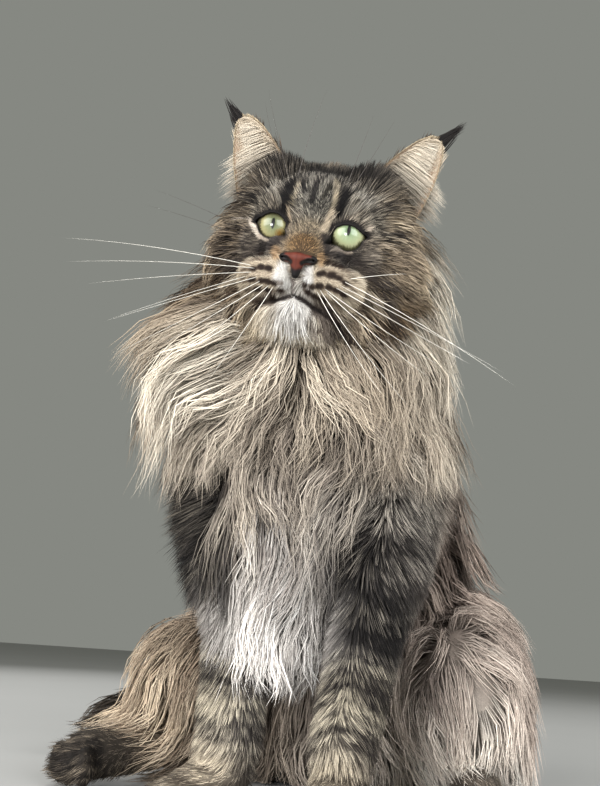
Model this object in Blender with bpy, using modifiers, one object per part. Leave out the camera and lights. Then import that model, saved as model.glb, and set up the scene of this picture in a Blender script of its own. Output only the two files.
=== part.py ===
"""A life-size maine coon cat that sits upright with its head turned a little to its left.

Metres, +Z up. The cat faces -Y and its left side is +X. The origin is on the floor, in the
middle of the flat that the rump sits on. The body is made of chains of balls. Each ball has a
place, the radii of the skin there and the radii out to the tips of the hair, and each two balls
that follow each other are joined by their hull. The coat's share is 0 at the skin and 1 at the
tips of the hair.
"""

import math
import random
from dataclasses import dataclass

import bmesh
import bpy
from mathutils import Euler, Matrix, Vector
from mathutils.bvhtree import BVHTree

UP = Vector((0, 0, 1))
FRONT = Vector((0, -1, 0))

# Driving dimensions
SEED = 7
GAP = 0.0003
# The nodes stand further apart, so that thinning them doesn't close the gap
CORE_GAP = 0.0010
CORE_SHARE = 0.42
FLOOR_SIZE = 1.0
BODY_VOXEL = 0.006
FACE_VOXEL = 0.0025
SMOOTH_FACTOR = 0.5
SMOOTH_ROUNDS = 5

# Triangles of each form, before locks, lids, lips and cuts are added
FORM_FACES = {
    "head": 1900,
    "neck": 700,
    "chest": 380,
    "torso": 600,
    "thigh": 320,
    "foreleg": 600,
    "hindfoot": 400,
    "tail": 220,
    "outside": 3000,
}
HEAD_FACES = 3500
EAR_FACES = 560
THINNING_STEP = 1.03

# The head's frame has its origin midway between the eyeballs, x to the cat's left, y to its back
HEAD_PLACE = Vector((0.010, -0.2253, 0.3674))
HEAD_TURN = Euler([math.radians(angle) for angle in (13.5, 7.7, 10.1)], "YXZ")
EYE_PLACE = Vector((0.0255, 0.0, 0.0))
EYE_RADIUS = 0.0122
LID_HALF_WIDTH = 0.0108
LID_HALF_HEIGHT = 0.0098
LID_THICKNESS = 0.0028
LID_SPREAD = 1.04
LID_POINTS = 16
SOCKET_FRONT = 0.030
SOCKET_BACK = 0.012

EAR_INNER_BASE = Vector((0.037, 0.038, 0.057))
EAR_OUTER_BASE = Vector((0.066, 0.044, 0.032))
EAR_TIP = Vector((0.073, 0.048, 0.090))
EAR_WALL = 0.0024
CUP_WIDTH_SHARE = 0.93
CUP_SHRINK = 0.55

# Mouth line from the middle to the left corner, and the line from the nose to it, laid on the face
MOUTH_LINE = [
    Vector((0, -0.0350, -0.0470)),
    Vector((0.0080, -0.0335, -0.0495)),
    Vector((0.0160, -0.0290, -0.0525)),
    Vector((0.0230, -0.0190, -0.0535)),
    Vector((0.0290, -0.0070, -0.0515)),
]
PHILTRUM = [Vector((0, -0.0360, -0.0345)), Vector((0, -0.0350, -0.0470))]
MOUTH_GROOVE = 0.0010
PHILTRUM_GROOVE = 0.0007
LIP_THICKNESS = 0.0021

# Locks: share of the way and of the width at each ring, and how they lie
LOCK_SHARES = (0.0, 0.25, 0.5, 0.75, 1.0)
LOCK_SHAPE = (0.80, 1.00, 0.90, 0.62)
LOCK_STEPS = 4
LOCK_RIDGE = 0.42
LOCK_SUNK = 0.006
LOCK_LIFT = 0.5
LOCK_CURVE = 0.8
LOCK_STIFFNESS = 0.6
LOCK_DROOP = 0.25
SWAY = 0.25
ROOT_DRIFT = 5.0
LOCK_FACES = 22
LOCK_CLEARANCE = 0.004
LENGTHS_TRIED = (1.0, 0.8, 0.6, 0.45)
LENGTH_RANGE = (0.80, 1.15)
REACH_RANGE = (0.70, 1.0)
WIDTH_RANGE = (0.85, 1.2)

# Number of locks, place towards the back and length of each row on a cheek, and the angles it takes in
CHEEK_ROWS = [(6, -0.25, 0.036), (7, 0.20, 0.040), (7, 0.75, 0.040)]
CHEEK_WIDTH = 0.015
CHEEK_TOP = -60
CHEEK_BOTTOM = 75
# Height, number of locks, angle left open at the face, and length of the locks of each row
RUFF_ROWS = [
    (0.408, 8, 110, 0.050),
    (0.392, 13, 65, 0.060),
    (0.362, 16, 50, 0.066),
    (0.332, 19, 0, 0.072),
    (0.302, 20, 0, 0.075),
    (0.272, 18, 0, 0.070),
    (0.242, 16, 0, 0.060),
]
RUFF_WIDTH = 0.025
# Height, number of locks and half the angle that each row takes in
BIB_ROWS = [(0.222, 6, 50), (0.200, 6, 50), (0.176, 6, 48), (0.152, 5, 46), (0.130, 4, 45), (0.108, 3, 45)]
BIB_WIDTH = 0.018
# Place along the spine, number of locks and half the angle from the back
BACK_ROWS = [
    (-0.076, 0.282, 7, 100),
    (-0.066, 0.250, 8, 100),
    (-0.050, 0.205, 9, 105),
    (-0.020, 0.165, 9, 110),
    (0.004, 0.125, 9, 110),
    (0.020, 0.085, 9, 100),
]
BACK_WIDTH = 0.032
# Number of locks in each row on a thigh, and how far the row lies towards its outer side
THIGH_ROWS = [(4, 2.2), (8, 0.8), (9, 0.15)]
THIGH_WIDTH = 0.030
TAIL_ROWS = (0.2, 0.7)
TAIL_ROUND = 6
TAIL_WIDTH = 0.034
# Lean to the outer side, length and height on the ear of each lock of the tuft
EAR_TUFT = [(0.50, 0.030, 0.93), (0.78, 0.024, 0.90), (0.25, 0.022, 0.94)]
EAR_TUFT_WIDTH = 0.008
# Height on the ear, rise and depth of the root of each lock in the cup
EAR_HAIR = [(0.10, 0.02, -0.30), (0.26, 0.06, -0.25), (0.42, 0.10, -0.20), (0.56, 0.14, -0.12)]
EAR_HAIR_WIDTH = 0.0075
EAR_HAIR_BOW = 0.35

FUR_ROUGHNESS = 0.9
EYE_ROUGHNESS = 0.1
COLOURS = {
    "head": (0.16, 0.13, 0.10),
    "ear": (0.52, 0.44, 0.36),
    "eye": (0.55, 0.60, 0.34),
    "neck": (0.36, 0.29, 0.21),
    "chest": (0.62, 0.53, 0.45),
    "torso": (0.13, 0.11, 0.09),
    "foreleg": (0.24, 0.21, 0.17),
    "thigh": (0.34, 0.27, 0.22),
    "hindfoot": (0.20, 0.17, 0.13),
    "tail": (0.15, 0.12, 0.10),
}


@dataclass
class Ball:
    """The place and radii of the skin, the radii at the tips of the hair, and the way to the tips' place."""

    place: Vector
    skin: Vector
    tips: Vector
    shift: Vector

    def at(self, share):
        """Place and radii with the coat grown to a share."""
        return self.place + self.shift * share, self.skin.lerp(self.tips, share)


def ball(place, skin, tips=None, shift=(0, 0, 0), short=0.0):
    """A ball, whose hair is short and of one depth where no tip radii are given."""
    skin = Vector(skin)
    return Ball(Vector(place), skin, Vector(tips) if tips else skin + Vector((short,) * 3), Vector(shift))


def mirrored(form):
    """The same chains on the other side of the X = 0 plane."""
    flip = Vector((-1, 1, 1))
    return [[Ball(b.place * flip, b.skin, b.tips, b.shift * flip) for b in chain] for chain in form]


FACE_FUR = 0.003
FACE_MIDDLE = [
    [ball((0, 0.042, 0.016), (0.037, 0.045, 0.036), short=FACE_FUR)],
    [ball((0, 0.014, 0.020), (0.028, 0.026, 0.022), short=FACE_FUR)],
    [
        ball((0, 0.004, 0.007), (0.013, 0.012, 0.012), short=FACE_FUR),
        ball((0, -0.024, -0.018), (0.0105, 0.0100, 0.009), short=0.001),
    ],
    [ball((0, -0.010, -0.050), (0.016, 0.016, 0.0115), short=FACE_FUR)],
    [ball((0, 0.030, -0.030), (0.030, 0.032, 0.020), short=FACE_FUR)],
]
FACE_SIDE = [
    [ball((0.022, 0.007, 0.013), (0.014, 0.011, 0.010), short=FACE_FUR)],
    [ball((0.024, 0.036, 0.018), (0.028, 0.032, 0.026), short=FACE_FUR)],
    [ball((0.0265, 0.010, -0.001), (0.0165, 0.0135, 0.0155), short=FACE_FUR)],
    [ball((0.0135, -0.010, -0.015), (0.0110, 0.0130, 0.0120), short=FACE_FUR)],
    [ball((0.0160, -0.014, -0.036), (0.0190, 0.0175, 0.0125), short=FACE_FUR)],
    [
        ball((0.008, -0.006, -0.047), (0.012, 0.014, 0.009), short=FACE_FUR),
        ball((0.030, 0.034, -0.026), (0.014, 0.018, 0.018), short=FACE_FUR),
    ],
    [ball((0.032, 0.018, -0.012), (0.018, 0.024, 0.022), short=FACE_FUR)],
]
NOSE = [
    [
        ball((0.0075, -0.0300, -0.0235), (0.0035, 0.0040, 0.0030)),
        ball((-0.0075, -0.0300, -0.0235), (0.0035, 0.0040, 0.0030)),
    ],
    [
        ball((0, -0.0325, -0.0240), (0.0060, 0.0045, 0.0035)),
        ball((0, -0.0315, -0.0315), (0.0022, 0.0030, 0.0025)),
    ],
]
NOSTRIL = ball((0.0050, -0.0365, -0.0275), (0.0024, 0.0030, 0.0016))
CHEEK = [
    [
        ball((0.034, 0.040, 0.018), (0.012, 0.022, 0.014), (0.044, 0.034, 0.026)),
        ball((0.036, 0.034, -0.014), (0.018, 0.024, 0.020), (0.054, 0.036, 0.036)),
    ],
    [
        ball((0.036, 0.034, -0.014), (0.018, 0.024, 0.020), (0.054, 0.036, 0.036)),
        ball((0.020, 0.026, -0.044), (0.014, 0.020, 0.012), (0.046, 0.032, 0.028)),
    ],
]

NECK = [
    [
        ball((0.002, -0.135, 0.362), (0.045, 0.040, 0.035), (0.100, 0.066, 0.058), (-0.012, -0.010, 0.020)),
        ball((-0.004, -0.125, 0.300), (0.052, 0.048, 0.045), (0.142, 0.092, 0.074), (-0.027, -0.022, 0.008)),
    ],
    [
        ball((-0.004, -0.120, 0.285), (0.052, 0.048, 0.045), (0.146, 0.088, 0.060), (-0.027, -0.024, 0.004)),
        ball((-0.004, -0.115, 0.245), (0.056, 0.050, 0.040), (0.102, 0.080, 0.046), (-0.002, -0.015, -0.008)),
    ],
]
CHEST = [
    [
        ball((-0.014, -0.134, 0.210), (0.045, 0.044, 0.040), (0.070, 0.086, 0.046)),
        ball((-0.018, -0.142, 0.160), (0.036, 0.038, 0.040), (0.060, 0.070, 0.046)),
    ],
    [
        ball((-0.018, -0.142, 0.160), (0.036, 0.038, 0.040), (0.060, 0.070, 0.046)),
        ball((-0.020, -0.152, 0.115), (0.012, 0.014, 0.016), (0.040, 0.044, 0.038)),
    ],
]
TORSO = [
    [
        ball((0, 0.020, 0.082), (0.070, 0.076, 0.074), (0.102, 0.108, 0.102)),
        ball((0, -0.006, 0.155), (0.064, 0.068, 0.068), (0.098, 0.098, 0.090)),
    ],
    [
        ball((0, -0.006, 0.155), (0.064, 0.068, 0.068), (0.098, 0.098, 0.090)),
        ball((0, -0.066, 0.215), (0.062, 0.068, 0.074), (0.092, 0.084, 0.086)),
    ],
    [ball((0, -0.075, 0.265), (0.048, 0.052, 0.042), (0.076, 0.078, 0.056))],
]
FORELEG_LEFT = [
    [
        ball((0.052, -0.108, 0.215), (0.026, 0.038, 0.042), short=0.009),
        ball((0.045, -0.143, 0.155), (0.022, 0.028, 0.028), short=0.008),
    ],
    [
        ball((0.045, -0.145, 0.150), (0.022, 0.027, 0.026), short=0.008),
        ball((0.036, -0.188, 0.048), (0.0180, 0.0185, 0.0200), short=0.008),
    ],
]
FORELEG_RIGHT = [
    [
        ball((-0.070, -0.104, 0.205), (0.028, 0.038, 0.044), short=0.014),
        ball((-0.050, -0.142, 0.155), (0.023, 0.028, 0.028), short=0.008),
    ],
    [
        ball((-0.049, -0.145, 0.150), (0.022, 0.027, 0.026), short=0.008),
        ball((-0.036, -0.188, 0.048), (0.0180, 0.0185, 0.0200), short=0.008),
    ],
]
THIGH_LEFT = [
    [
        ball((0.078, 0.012, 0.080), (0.040, 0.068, 0.064), (0.060, 0.092, 0.084)),
        ball((0.092, -0.066, 0.080), (0.028, 0.034, 0.040), (0.042, 0.046, 0.060)),
    ],
    [ball((0.098, -0.020, 0.040), (0.022, 0.050, 0.026), (0.036, 0.072, 0.044))],
]
THIGH_RIGHT = [
    [
        ball((-0.080, 0.012, 0.085), (0.040, 0.068, 0.066), (0.062, 0.092, 0.088)),
        ball((-0.120, -0.050, 0.078), (0.030, 0.036, 0.038), (0.064, 0.048, 0.052)),
    ],
    [ball((-0.118, -0.020, 0.040), (0.024, 0.048, 0.026), (0.056, 0.060, 0.044))],
]
# Wrist or heel, ball of the foot, half width and height of each paw
PAWS = {
    "foreleg_left": ((0.036, -0.190, 0.028), (0.038, -0.212, 0.0165), 0.024, 0.018),
    "foreleg_right": ((-0.037, -0.190, 0.028), (-0.054, -0.209, 0.0165), 0.024, 0.018),
    "hindfoot_left": ((0.098, -0.040, 0.028), (0.106, -0.112, 0.020), 0.024, 0.020),
    "hindfoot_right": ((-0.130, -0.045, 0.030), (-0.173, -0.112, 0.022), 0.026, 0.022),
}
TOES = 4

# Places of the tail on the floor behind the cat, and its skin and tip radii there
TAIL = [
    ball((0.000, 0.085, 0.062), (0.021, 0.021, 0.021), (0.044, 0.044, 0.044)),
    ball((-0.030, 0.145, 0.050), (0.018, 0.018, 0.018), (0.052, 0.052, 0.052)),
    ball((-0.095, 0.185, 0.048), (0.016, 0.016, 0.016), (0.056, 0.056, 0.054)),
    ball((-0.165, 0.180, 0.046), (0.014, 0.014, 0.014), (0.056, 0.056, 0.052)),
    ball((-0.220, 0.135, 0.042), (0.011, 0.011, 0.011), (0.050, 0.050, 0.046)),
    ball((-0.245, 0.070, 0.030), (0.006, 0.006, 0.006), (0.026, 0.026, 0.026)),
]
TAIL_LENGTHS = {"tail_base": (0, 1), "tail_middle": (1, 3), "tail_tip": (3, 5)}


def kind(name):
    """What a node's name says that it is, without its side or its part."""
    return name.split("_")[0]


def new_object(name, mesh, collection):
    """An object that holds mesh, in a collection."""
    made = bpy.data.objects.new(name, mesh)
    collection.objects.link(made)
    return made


def new_collection(name):
    """A collection under the scene's own."""
    made = bpy.data.collections.new(name)
    bpy.context.scene.collection.children.link(made)
    return made


def empty_collection(collection):
    """Removes a collection's objects."""
    for item in list(collection.objects):
        bpy.data.objects.remove(item)


def hull_of(points):
    """A closed mesh of the hull of some points."""
    shape = bmesh.new()
    for point in points:
        shape.verts.new(point)
    found = bmesh.ops.convex_hull(shape, input=shape.verts)
    loose = {item for key in ("geom_interior", "geom_unused") for item in found[key]}
    vertices = [item for item in loose if isinstance(item, bmesh.types.BMVert)]
    bmesh.ops.delete(shape, geom=vertices, context="VERTS")
    mesh = bpy.data.meshes.new("hull")
    shape.to_mesh(mesh)
    shape.free()
    return mesh


def sphere_points(place, radii, subdivisions=3):
    """Points of a sphere of the given place and radii."""
    shape = bmesh.new()
    matrix = Matrix.Translation(place) @ Matrix.Diagonal((*radii, 1))
    bmesh.ops.create_icosphere(shape, subdivisions=subdivisions, radius=1, matrix=matrix)
    points = [vertex.co.copy() for vertex in shape.verts]
    shape.free()
    return points


def hull_mesh(form, share):
    """One mesh of the hulls of a form's chains, with the coat grown to the given share."""
    gathered = bmesh.new()
    for chain in form:
        for link in list(zip(chain, chain[1:])) or [(chain[0],)]:
            points = [point for one in link for point in sphere_points(*one.at(share))]
            gathered.from_mesh(hull_of(points))
    whole = bpy.data.meshes.new("hulls")
    gathered.to_mesh(whole)
    gathered.free()
    return whole


def apply_modifiers(made):
    """Gives an object its evaluated mesh and takes its modifiers away."""
    graph = bpy.context.evaluated_depsgraph_get()
    mesh = bpy.data.meshes.new_from_object(made.evaluated_get(graph))
    made.modifiers.clear()
    made.data = mesh
    return made


def fused_form(name, form, share, voxel, collection):
    """One smooth closed body made of a form's hulls, in the number of triangles for its kind."""
    made = new_object(name, hull_mesh(form, share), collection)
    remesh = made.modifiers.new("fuse", "REMESH")
    remesh.mode = "VOXEL"
    remesh.voxel_size = voxel
    smooth = made.modifiers.new("round", "SMOOTH")
    smooth.factor = SMOOTH_FACTOR
    smooth.iterations = SMOOTH_ROUNDS
    apply_modifiers(made)
    coarse = made.modifiers.new("coarse", "DECIMATE")
    coarse.ratio = min(1.0, FORM_FACES[kind(name)] / (2 * len(made.data.polygons)))
    coarse.use_collapse_triangulate = True
    return apply_modifiers(made)


def boolean(made, operation, others):
    """Joins made with a collection's objects or cuts it with them, and removes them."""
    step = made.modifiers.new("boolean", "BOOLEAN")
    step.operation = operation
    step.operand_type = "COLLECTION"
    step.collection = others
    step.solver = "MANIFOLD"
    apply_modifiers(made)
    empty_collection(others)
    triangulate(made)


def open_edges(shape):
    """The ends of each edge that hasn't just two faces."""
    return [{vertex.index for vertex in edge.verts} for edge in shape.edges if len(edge.link_faces) != 2]


def triangulate(made):
    """Splits an object's faces into triangles, about their middle where a split would double an edge."""
    shape = bmesh.new()
    shape.from_mesh(made.data)
    trial = shape.copy()
    bmesh.ops.triangulate(trial, faces=trial.faces)
    doubled = open_edges(trial)
    trial.free()
    wide = [face for face in shape.faces if len(face.verts) > 3]
    faces = [face for face in wide if any(ends <= {v.index for v in face.verts} for ends in doubled)]
    bmesh.ops.poke(shape, faces=faces)
    bmesh.ops.triangulate(shape, faces=shape.faces)
    shape.to_mesh(made.data)
    shape.free()


def is_closed(mesh):
    """Whether each edge of a mesh has just two faces."""
    shape = bmesh.new()
    shape.from_mesh(mesh)
    closed = not open_edges(shape)
    shape.free()
    return closed


def thinned(made, faces):
    """Collapses the shortest and flattest edges of an object down to about a number of triangles."""
    full = made.data
    now = len(full.polygons)
    while now > faces:
        coarse = made.modifiers.new("coarse", "DECIMATE")
        coarse.ratio = faces / now
        coarse.use_collapse_triangulate = True
        apply_modifiers(made)
        if is_closed(made.data):
            return
        made.data = full
        faces = int(faces * THINNING_STEP)


def tree_of(mesh):
    """A search tree of a mesh's surface."""
    shape = bmesh.new()
    shape.from_mesh(mesh)
    tree = BVHTree.FromBMesh(shape)
    shape.free()
    return tree


def span(faces):
    """The size of the box round some faces."""
    places = [vertex.co for face in faces for vertex in face.verts]
    low = [min(place[axis] for place in places) for axis in range(3)]
    high = [max(place[axis] for place in places) for axis in range(3)]
    return math.dist(low, high)


def keep_largest(made):
    """Drops every surface of an object that isn't joined to its largest one by edges."""
    shape = bmesh.new()
    shape.from_mesh(made.data)
    left = set(shape.faces)
    groups = []
    while left:
        front = [left.pop()]
        group = []
        while front:
            group.append(front.pop())
            beside = {face for edge in group[-1].edges for face in edge.link_faces} & left
            left -= beside
            front.extend(beside)
        groups.append(group)
    largest = max(groups, key=span)
    scraps = [face for group in groups if group is not largest for face in group]
    bmesh.ops.delete(shape, geom=scraps, context="FACES")
    shape.to_mesh(made.data)
    shape.free()


def box_of(made):
    """The lowest and highest corners of an object's mesh."""
    points = [vertex.co for vertex in made.data.vertices]
    return [[pick(p[axis] for p in points) for axis in range(3)] for pick in (min, max)]


def boxes_meet(first, second):
    """Whether two boxes overlap."""
    return all(first[0][axis] < second[1][axis] and second[0][axis] < first[1][axis] for axis in range(3))


def grown_copy(made, collection, gap):
    """A copy of an object's mesh with its surface moved out by a gap."""
    mesh = made.data.copy()
    shape = bmesh.new()
    shape.from_mesh(mesh)
    shape.normal_update()
    for vertex in shape.verts:
        vertex.co += vertex.normal * gap
    shape.to_mesh(mesh)
    shape.free()
    return new_object("grown", mesh, collection)


def clear_of(made, neighbours, cutters, gap):
    """Cuts a node clear of other nodes."""
    box = box_of(made)
    for other in neighbours:
        if boxes_meet(box, box_of(other)):
            grown_copy(other, cutters, gap)
            grown_copy(other, cutters, 0)
    if cutters.objects:
        boolean(made, "DIFFERENCE", cutters)


def cut_at_floor(made, cutters):
    """Cuts away what is under the floor, which leaves the flats that the cat rests on."""
    if box_of(made)[0][2] > 0:
        return
    slab = bpy.data.meshes.new("floor")
    shape = bmesh.new()
    place = Matrix.Translation((0, 0, -FLOOR_SIZE / 2))
    bmesh.ops.create_cube(shape, size=FLOOR_SIZE, matrix=place)
    shape.to_mesh(slab)
    shape.free()
    new_object("floor", slab, cutters)
    boolean(made, "DIFFERENCE", cutters)


def finish(made, neighbours, cutters, gap=CORE_GAP, roughness=FUR_ROUGHNESS):
    """Cuts a node clear of the floor and its neighbours, shades it and gives it its material."""
    cut_at_floor(made, cutters)
    clear_of(made, neighbours, cutters, gap)
    keep_largest(made)
    triangulate(made)
    made.data.shade_smooth()
    material = bpy.data.materials.new(made.name)
    material.use_nodes = True
    shader = material.node_tree.nodes["Principled BSDF"]
    shader.inputs["Base Color"].default_value = (*COLOURS[kind(made.name)], 1)
    shader.inputs["Roughness"].default_value = roughness
    shader.inputs["Metallic"].default_value = 0
    made.data.materials.clear()
    made.data.materials.append(material)
    neighbours.append(made)


def to_cat_frame(made):
    """Moves a mesh from the head's frame to the cat's."""
    made.data.transform(Matrix.Translation(HEAD_PLACE) @ HEAD_TURN.to_matrix().to_4x4())
    return made


def tube(name, points, radius, collection, cyclic=False):
    """A round closed tube along points, as a mesh."""
    curve = bpy.data.curves.new(name, "CURVE")
    curve.dimensions = "3D"
    curve.bevel_depth = radius
    curve.bevel_resolution = 1
    curve.use_fill_caps = not cyclic
    spline = curve.splines.new("POLY")
    spline.points.add(len(points) - 1)
    spline.use_cyclic_u = cyclic
    for target, point in zip(spline.points, points):
        target.co = (*point, 1)
    path = new_object(name, curve, collection)
    graph = bpy.context.evaluated_depsgraph_get()
    mesh = bpy.data.meshes.new_from_object(path.evaluated_get(graph))
    bpy.data.objects.remove(path)
    shape = bmesh.new()
    shape.from_mesh(mesh)
    bmesh.ops.remove_doubles(shape, verts=shape.verts, dist=GAP / 10)
    bmesh.ops.recalc_face_normals(shape, faces=shape.faces)
    shape.to_mesh(mesh)
    shape.free()
    return new_object(name, mesh, collection)


@dataclass
class Belt:
    """A row of locks whose roots lie round a centre, at angles from zero about an axis."""

    centre: Vector
    axis: Vector
    zero: Vector
    first: float
    last: float
    count: int
    rise: float
    length: float
    width: float
    lie: Vector

    def rays(self):
        """The ways from the centre to the roots."""
        axis = self.axis.normalized()
        zero = (self.zero - axis * self.zero.dot(axis)).normalized()
        side = axis.cross(zero)
        closed = self.last - self.first > 359
        gaps = self.count if closed else max(self.count - 1, 1)
        offset = random.random() if closed else 0
        for number in range(self.count):
            turn = self.first + (self.last - self.first) * (number + offset) / gaps
            angle = math.radians(turn + random.uniform(-1, 1) * ROOT_DRIFT)
            yield (zero * math.cos(angle) + side * math.sin(angle) + axis * self.rise).normalized()


def tangent(way, normal):
    """The part of a way that lies along a surface."""
    return way - normal * way.dot(normal)


def lock_path(root, normal, lie, length, reach, sway, core, tips, lowest):
    """Places and outward ways along a lock, from its sunk root on the core out to the tips of the coat."""
    lie = lie + normal.cross(lie) * sway
    place = root - normal * LOCK_SUNK
    path = [(place, normal)]
    way = (normal * LOCK_LIFT + tangent(lie, normal)).normalized()
    for number in range(1, LOCK_STEPS + 1):
        share = number / LOCK_STEPS
        place = place + way * length / LOCK_STEPS
        near, outward = core.find_nearest(place)[:2]
        edge = tips.ray_cast(near + outward * GAP, outward)[0]
        depth = (edge - near).length if edge else LOCK_SUNK
        height = (place - near).dot(outward)
        height = min(max(height, depth * reach * share**LOCK_CURVE), depth)
        place = near + outward * height + tangent(place - near, outward)
        place.z = max(place.z, lowest)
        path.append((place, outward))
        way = (way * LOCK_STIFFNESS + tangent(lie, outward) + lie * LOCK_DROOP).normalized()
    return path


def lock_mesh(path, width):
    """A flat lock with a low ridge that tapers to its tip, triangulated alike all along."""
    rings = []
    for number, (place, outward) in enumerate(path[:-1]):
        way = (path[number + 1][0] - path[max(number - 1, 0)][0]).normalized()
        across = way.cross(outward).normalized()
        up = across.cross(way)
        half = width / 2 * LOCK_SHAPE[number]
        rings.append([place - across * half, place + up * half * LOCK_RIDGE, place + across * half])
    shape = bmesh.new()
    rings = [[shape.verts.new(point) for point in ring] for ring in rings]
    tip = shape.verts.new(path[-1][0])
    shape.faces.new(rings[0])
    for ring, following in zip(rings, rings[1:]):
        for side in range(3):
            beside = (side + 1) % 3
            shape.faces.new((ring[side], following[side], following[beside]))
            shape.faces.new((ring[side], following[beside], ring[beside]))
    for side in range(3):
        shape.faces.new((rings[-1][side], tip, rings[-1][(side + 1) % 3]))
    bmesh.ops.recalc_face_normals(shape, faces=shape.faces)
    mesh = bpy.data.meshes.new("lock")
    shape.to_mesh(mesh)
    shape.free()
    return mesh


def meets(mesh, others):
    """Whether a mesh meets any of the other nodes' surfaces."""
    tree = tree_of(mesh)
    return any(tree.overlap(other) for other in others)


def add_locks(core, tips, belts, pieces, others=(), lowest=LOCK_CLEARANCE):
    """Sets the locks of some belts on a core, each shortened or left out where it meets another node."""
    for belt in belts:
        for ray in belt.rays():
            root, normal = core.ray_cast(belt.centre, ray)[:2]
            if root is None:
                continue
            if normal.dot(ray) < 0:
                normal = -normal
            width = belt.width * random.uniform(*WIDTH_RANGE)
            length = belt.length * random.uniform(*LENGTH_RANGE)
            reach = random.uniform(*REACH_RANGE)
            sway = random.uniform(-1, 1) * SWAY
            for share in LENGTHS_TRIED:
                sizes = (length * share, reach * share, sway)
                mesh = lock_mesh(lock_path(root, normal, belt.lie, *sizes, core, tips, lowest), width * share)
                if not meets(mesh, others):
                    new_object("lock", mesh, pieces)
                    break


def eye_hole(side, reach, size):
    """Points of the lids' edge on the eyeball of one side, or of a ring before it."""
    points = []
    for number in range(LID_POINTS):
        angle = 2 * math.pi * number / LID_POINTS
        across = LID_HALF_WIDTH * size * math.cos(angle)
        up = LID_HALF_HEIGHT * size * math.sin(angle)
        depth = math.sqrt(reach**2 - across**2 - up**2)
        points.append(Vector((side * EYE_PLACE.x + across, -depth, up)))
    return points


def laid_on_face(line, tree):
    """A line's points moved to the nearest place on the face."""
    return [tree.find_nearest(point)[0] for point in line]


def add_eyes(cat, neighbours, cutters):
    """Two eyeballs in nodes of their own."""
    for name, side in (("eye_left", 1), ("eye_right", -1)):
        form = [[ball(EYE_PLACE * Vector((side, 1, 1)), (EYE_RADIUS,) * 3)]]
        eye = to_cat_frame(new_object(name, hull_mesh(form, 0), cat))
        finish(eye, neighbours, cutters, GAP, EYE_ROUGHNESS)


def add_head(cat, neighbours, pieces, cutters):
    """The head with its cheeks, nose, nostrils, lids, lips and line of the mouth."""
    face_form = grown_form(FACE_MIDDLE + FACE_SIDE + mirrored(FACE_SIDE), 1)
    cheeks = CHEEK + mirrored(CHEEK)
    head = fused_form("head", face_form + grown_form(cheeks, CORE_SHARE), 0, FACE_VOXEL, cat)
    face = tree_of(head.data)
    for side in (1, -1):
        front = [point + FRONT * SOCKET_FRONT for point in eye_hole(side, EYE_RADIUS, 1)]
        back = [point - FRONT * SOCKET_BACK for point in eye_hole(side, EYE_RADIUS, 1)]
        new_object("socket", hull_of(front + back), cutters)
    boolean(head, "DIFFERENCE", cutters)
    for side in (1, -1):
        ring = eye_hole(side, EYE_RADIUS + LID_THICKNESS / 3, LID_SPREAD)
        tube("lids", ring, LID_THICKNESS / 2, pieces, True)
    new_object("nose", hull_mesh(NOSE[:1], 0), pieces)
    new_object("nose", hull_mesh(NOSE[1:], 0), pieces)
    mouth = MOUTH_LINE[::-1] + [point * Vector((-1, 1, 1)) for point in MOUTH_LINE[1:]]
    tube("lips", laid_on_face(mouth, face), LIP_THICKNESS, pieces)
    boolean(head, "UNION", pieces)
    face = tree_of(head.data)
    tube("mouth", laid_on_face(mouth, face), MOUTH_GROOVE, cutters)
    tube("philtrum", laid_on_face(PHILTRUM, face), PHILTRUM_GROOVE, cutters)
    boolean(head, "DIFFERENCE", cutters)
    new_object("nostril", hull_mesh([[NOSTRIL]], 0), cutters)
    new_object("nostril", hull_mesh(mirrored([[NOSTRIL]]), 0), cutters)
    boolean(head, "DIFFERENCE", cutters)
    core = form_tree(cheeks, CORE_SHARE, FACE_VOXEL, cat)
    tips = form_tree(cheeks, 1, FACE_VOXEL, cat)
    for side in (1, -1):
        add_locks(core, tips, cheek_belts(side), pieces, lowest=-FLOOR_SIZE)
    boolean(head, "UNION", pieces)
    keep_largest(head)
    thinned(head, HEAD_FACES)
    finish(to_cat_frame(head), neighbours, cutters)


def cheek_belts(side):
    """Rows of locks on a cheek, in the head's frame, which sweep out, back and down."""
    centre = Vector((side * 0.030, 0.034, -0.012))
    lie = Vector((side * 0.85, 0.30, -0.60))
    first, last = sorted((CHEEK_TOP * side, CHEEK_BOTTOM * side))
    outward = Vector((side, 0, 0))
    return [
        Belt(centre, -FRONT, outward, first, last, count, rise, length, CHEEK_WIDTH, lie)
        for count, rise, length in CHEEK_ROWS
    ]


def ear_frame(side):
    """The middle of an ear's base, and the ways across, up and out of its cup."""
    flip = Vector((side, 1, 1))
    middle = (EAR_INNER_BASE + EAR_OUTER_BASE) / 2
    across = (EAR_OUTER_BASE - EAR_INNER_BASE).normalized()
    up = EAR_TIP - middle
    out = across.cross(up).normalized()
    return middle * flip, across * flip, up * flip, out * flip


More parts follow.
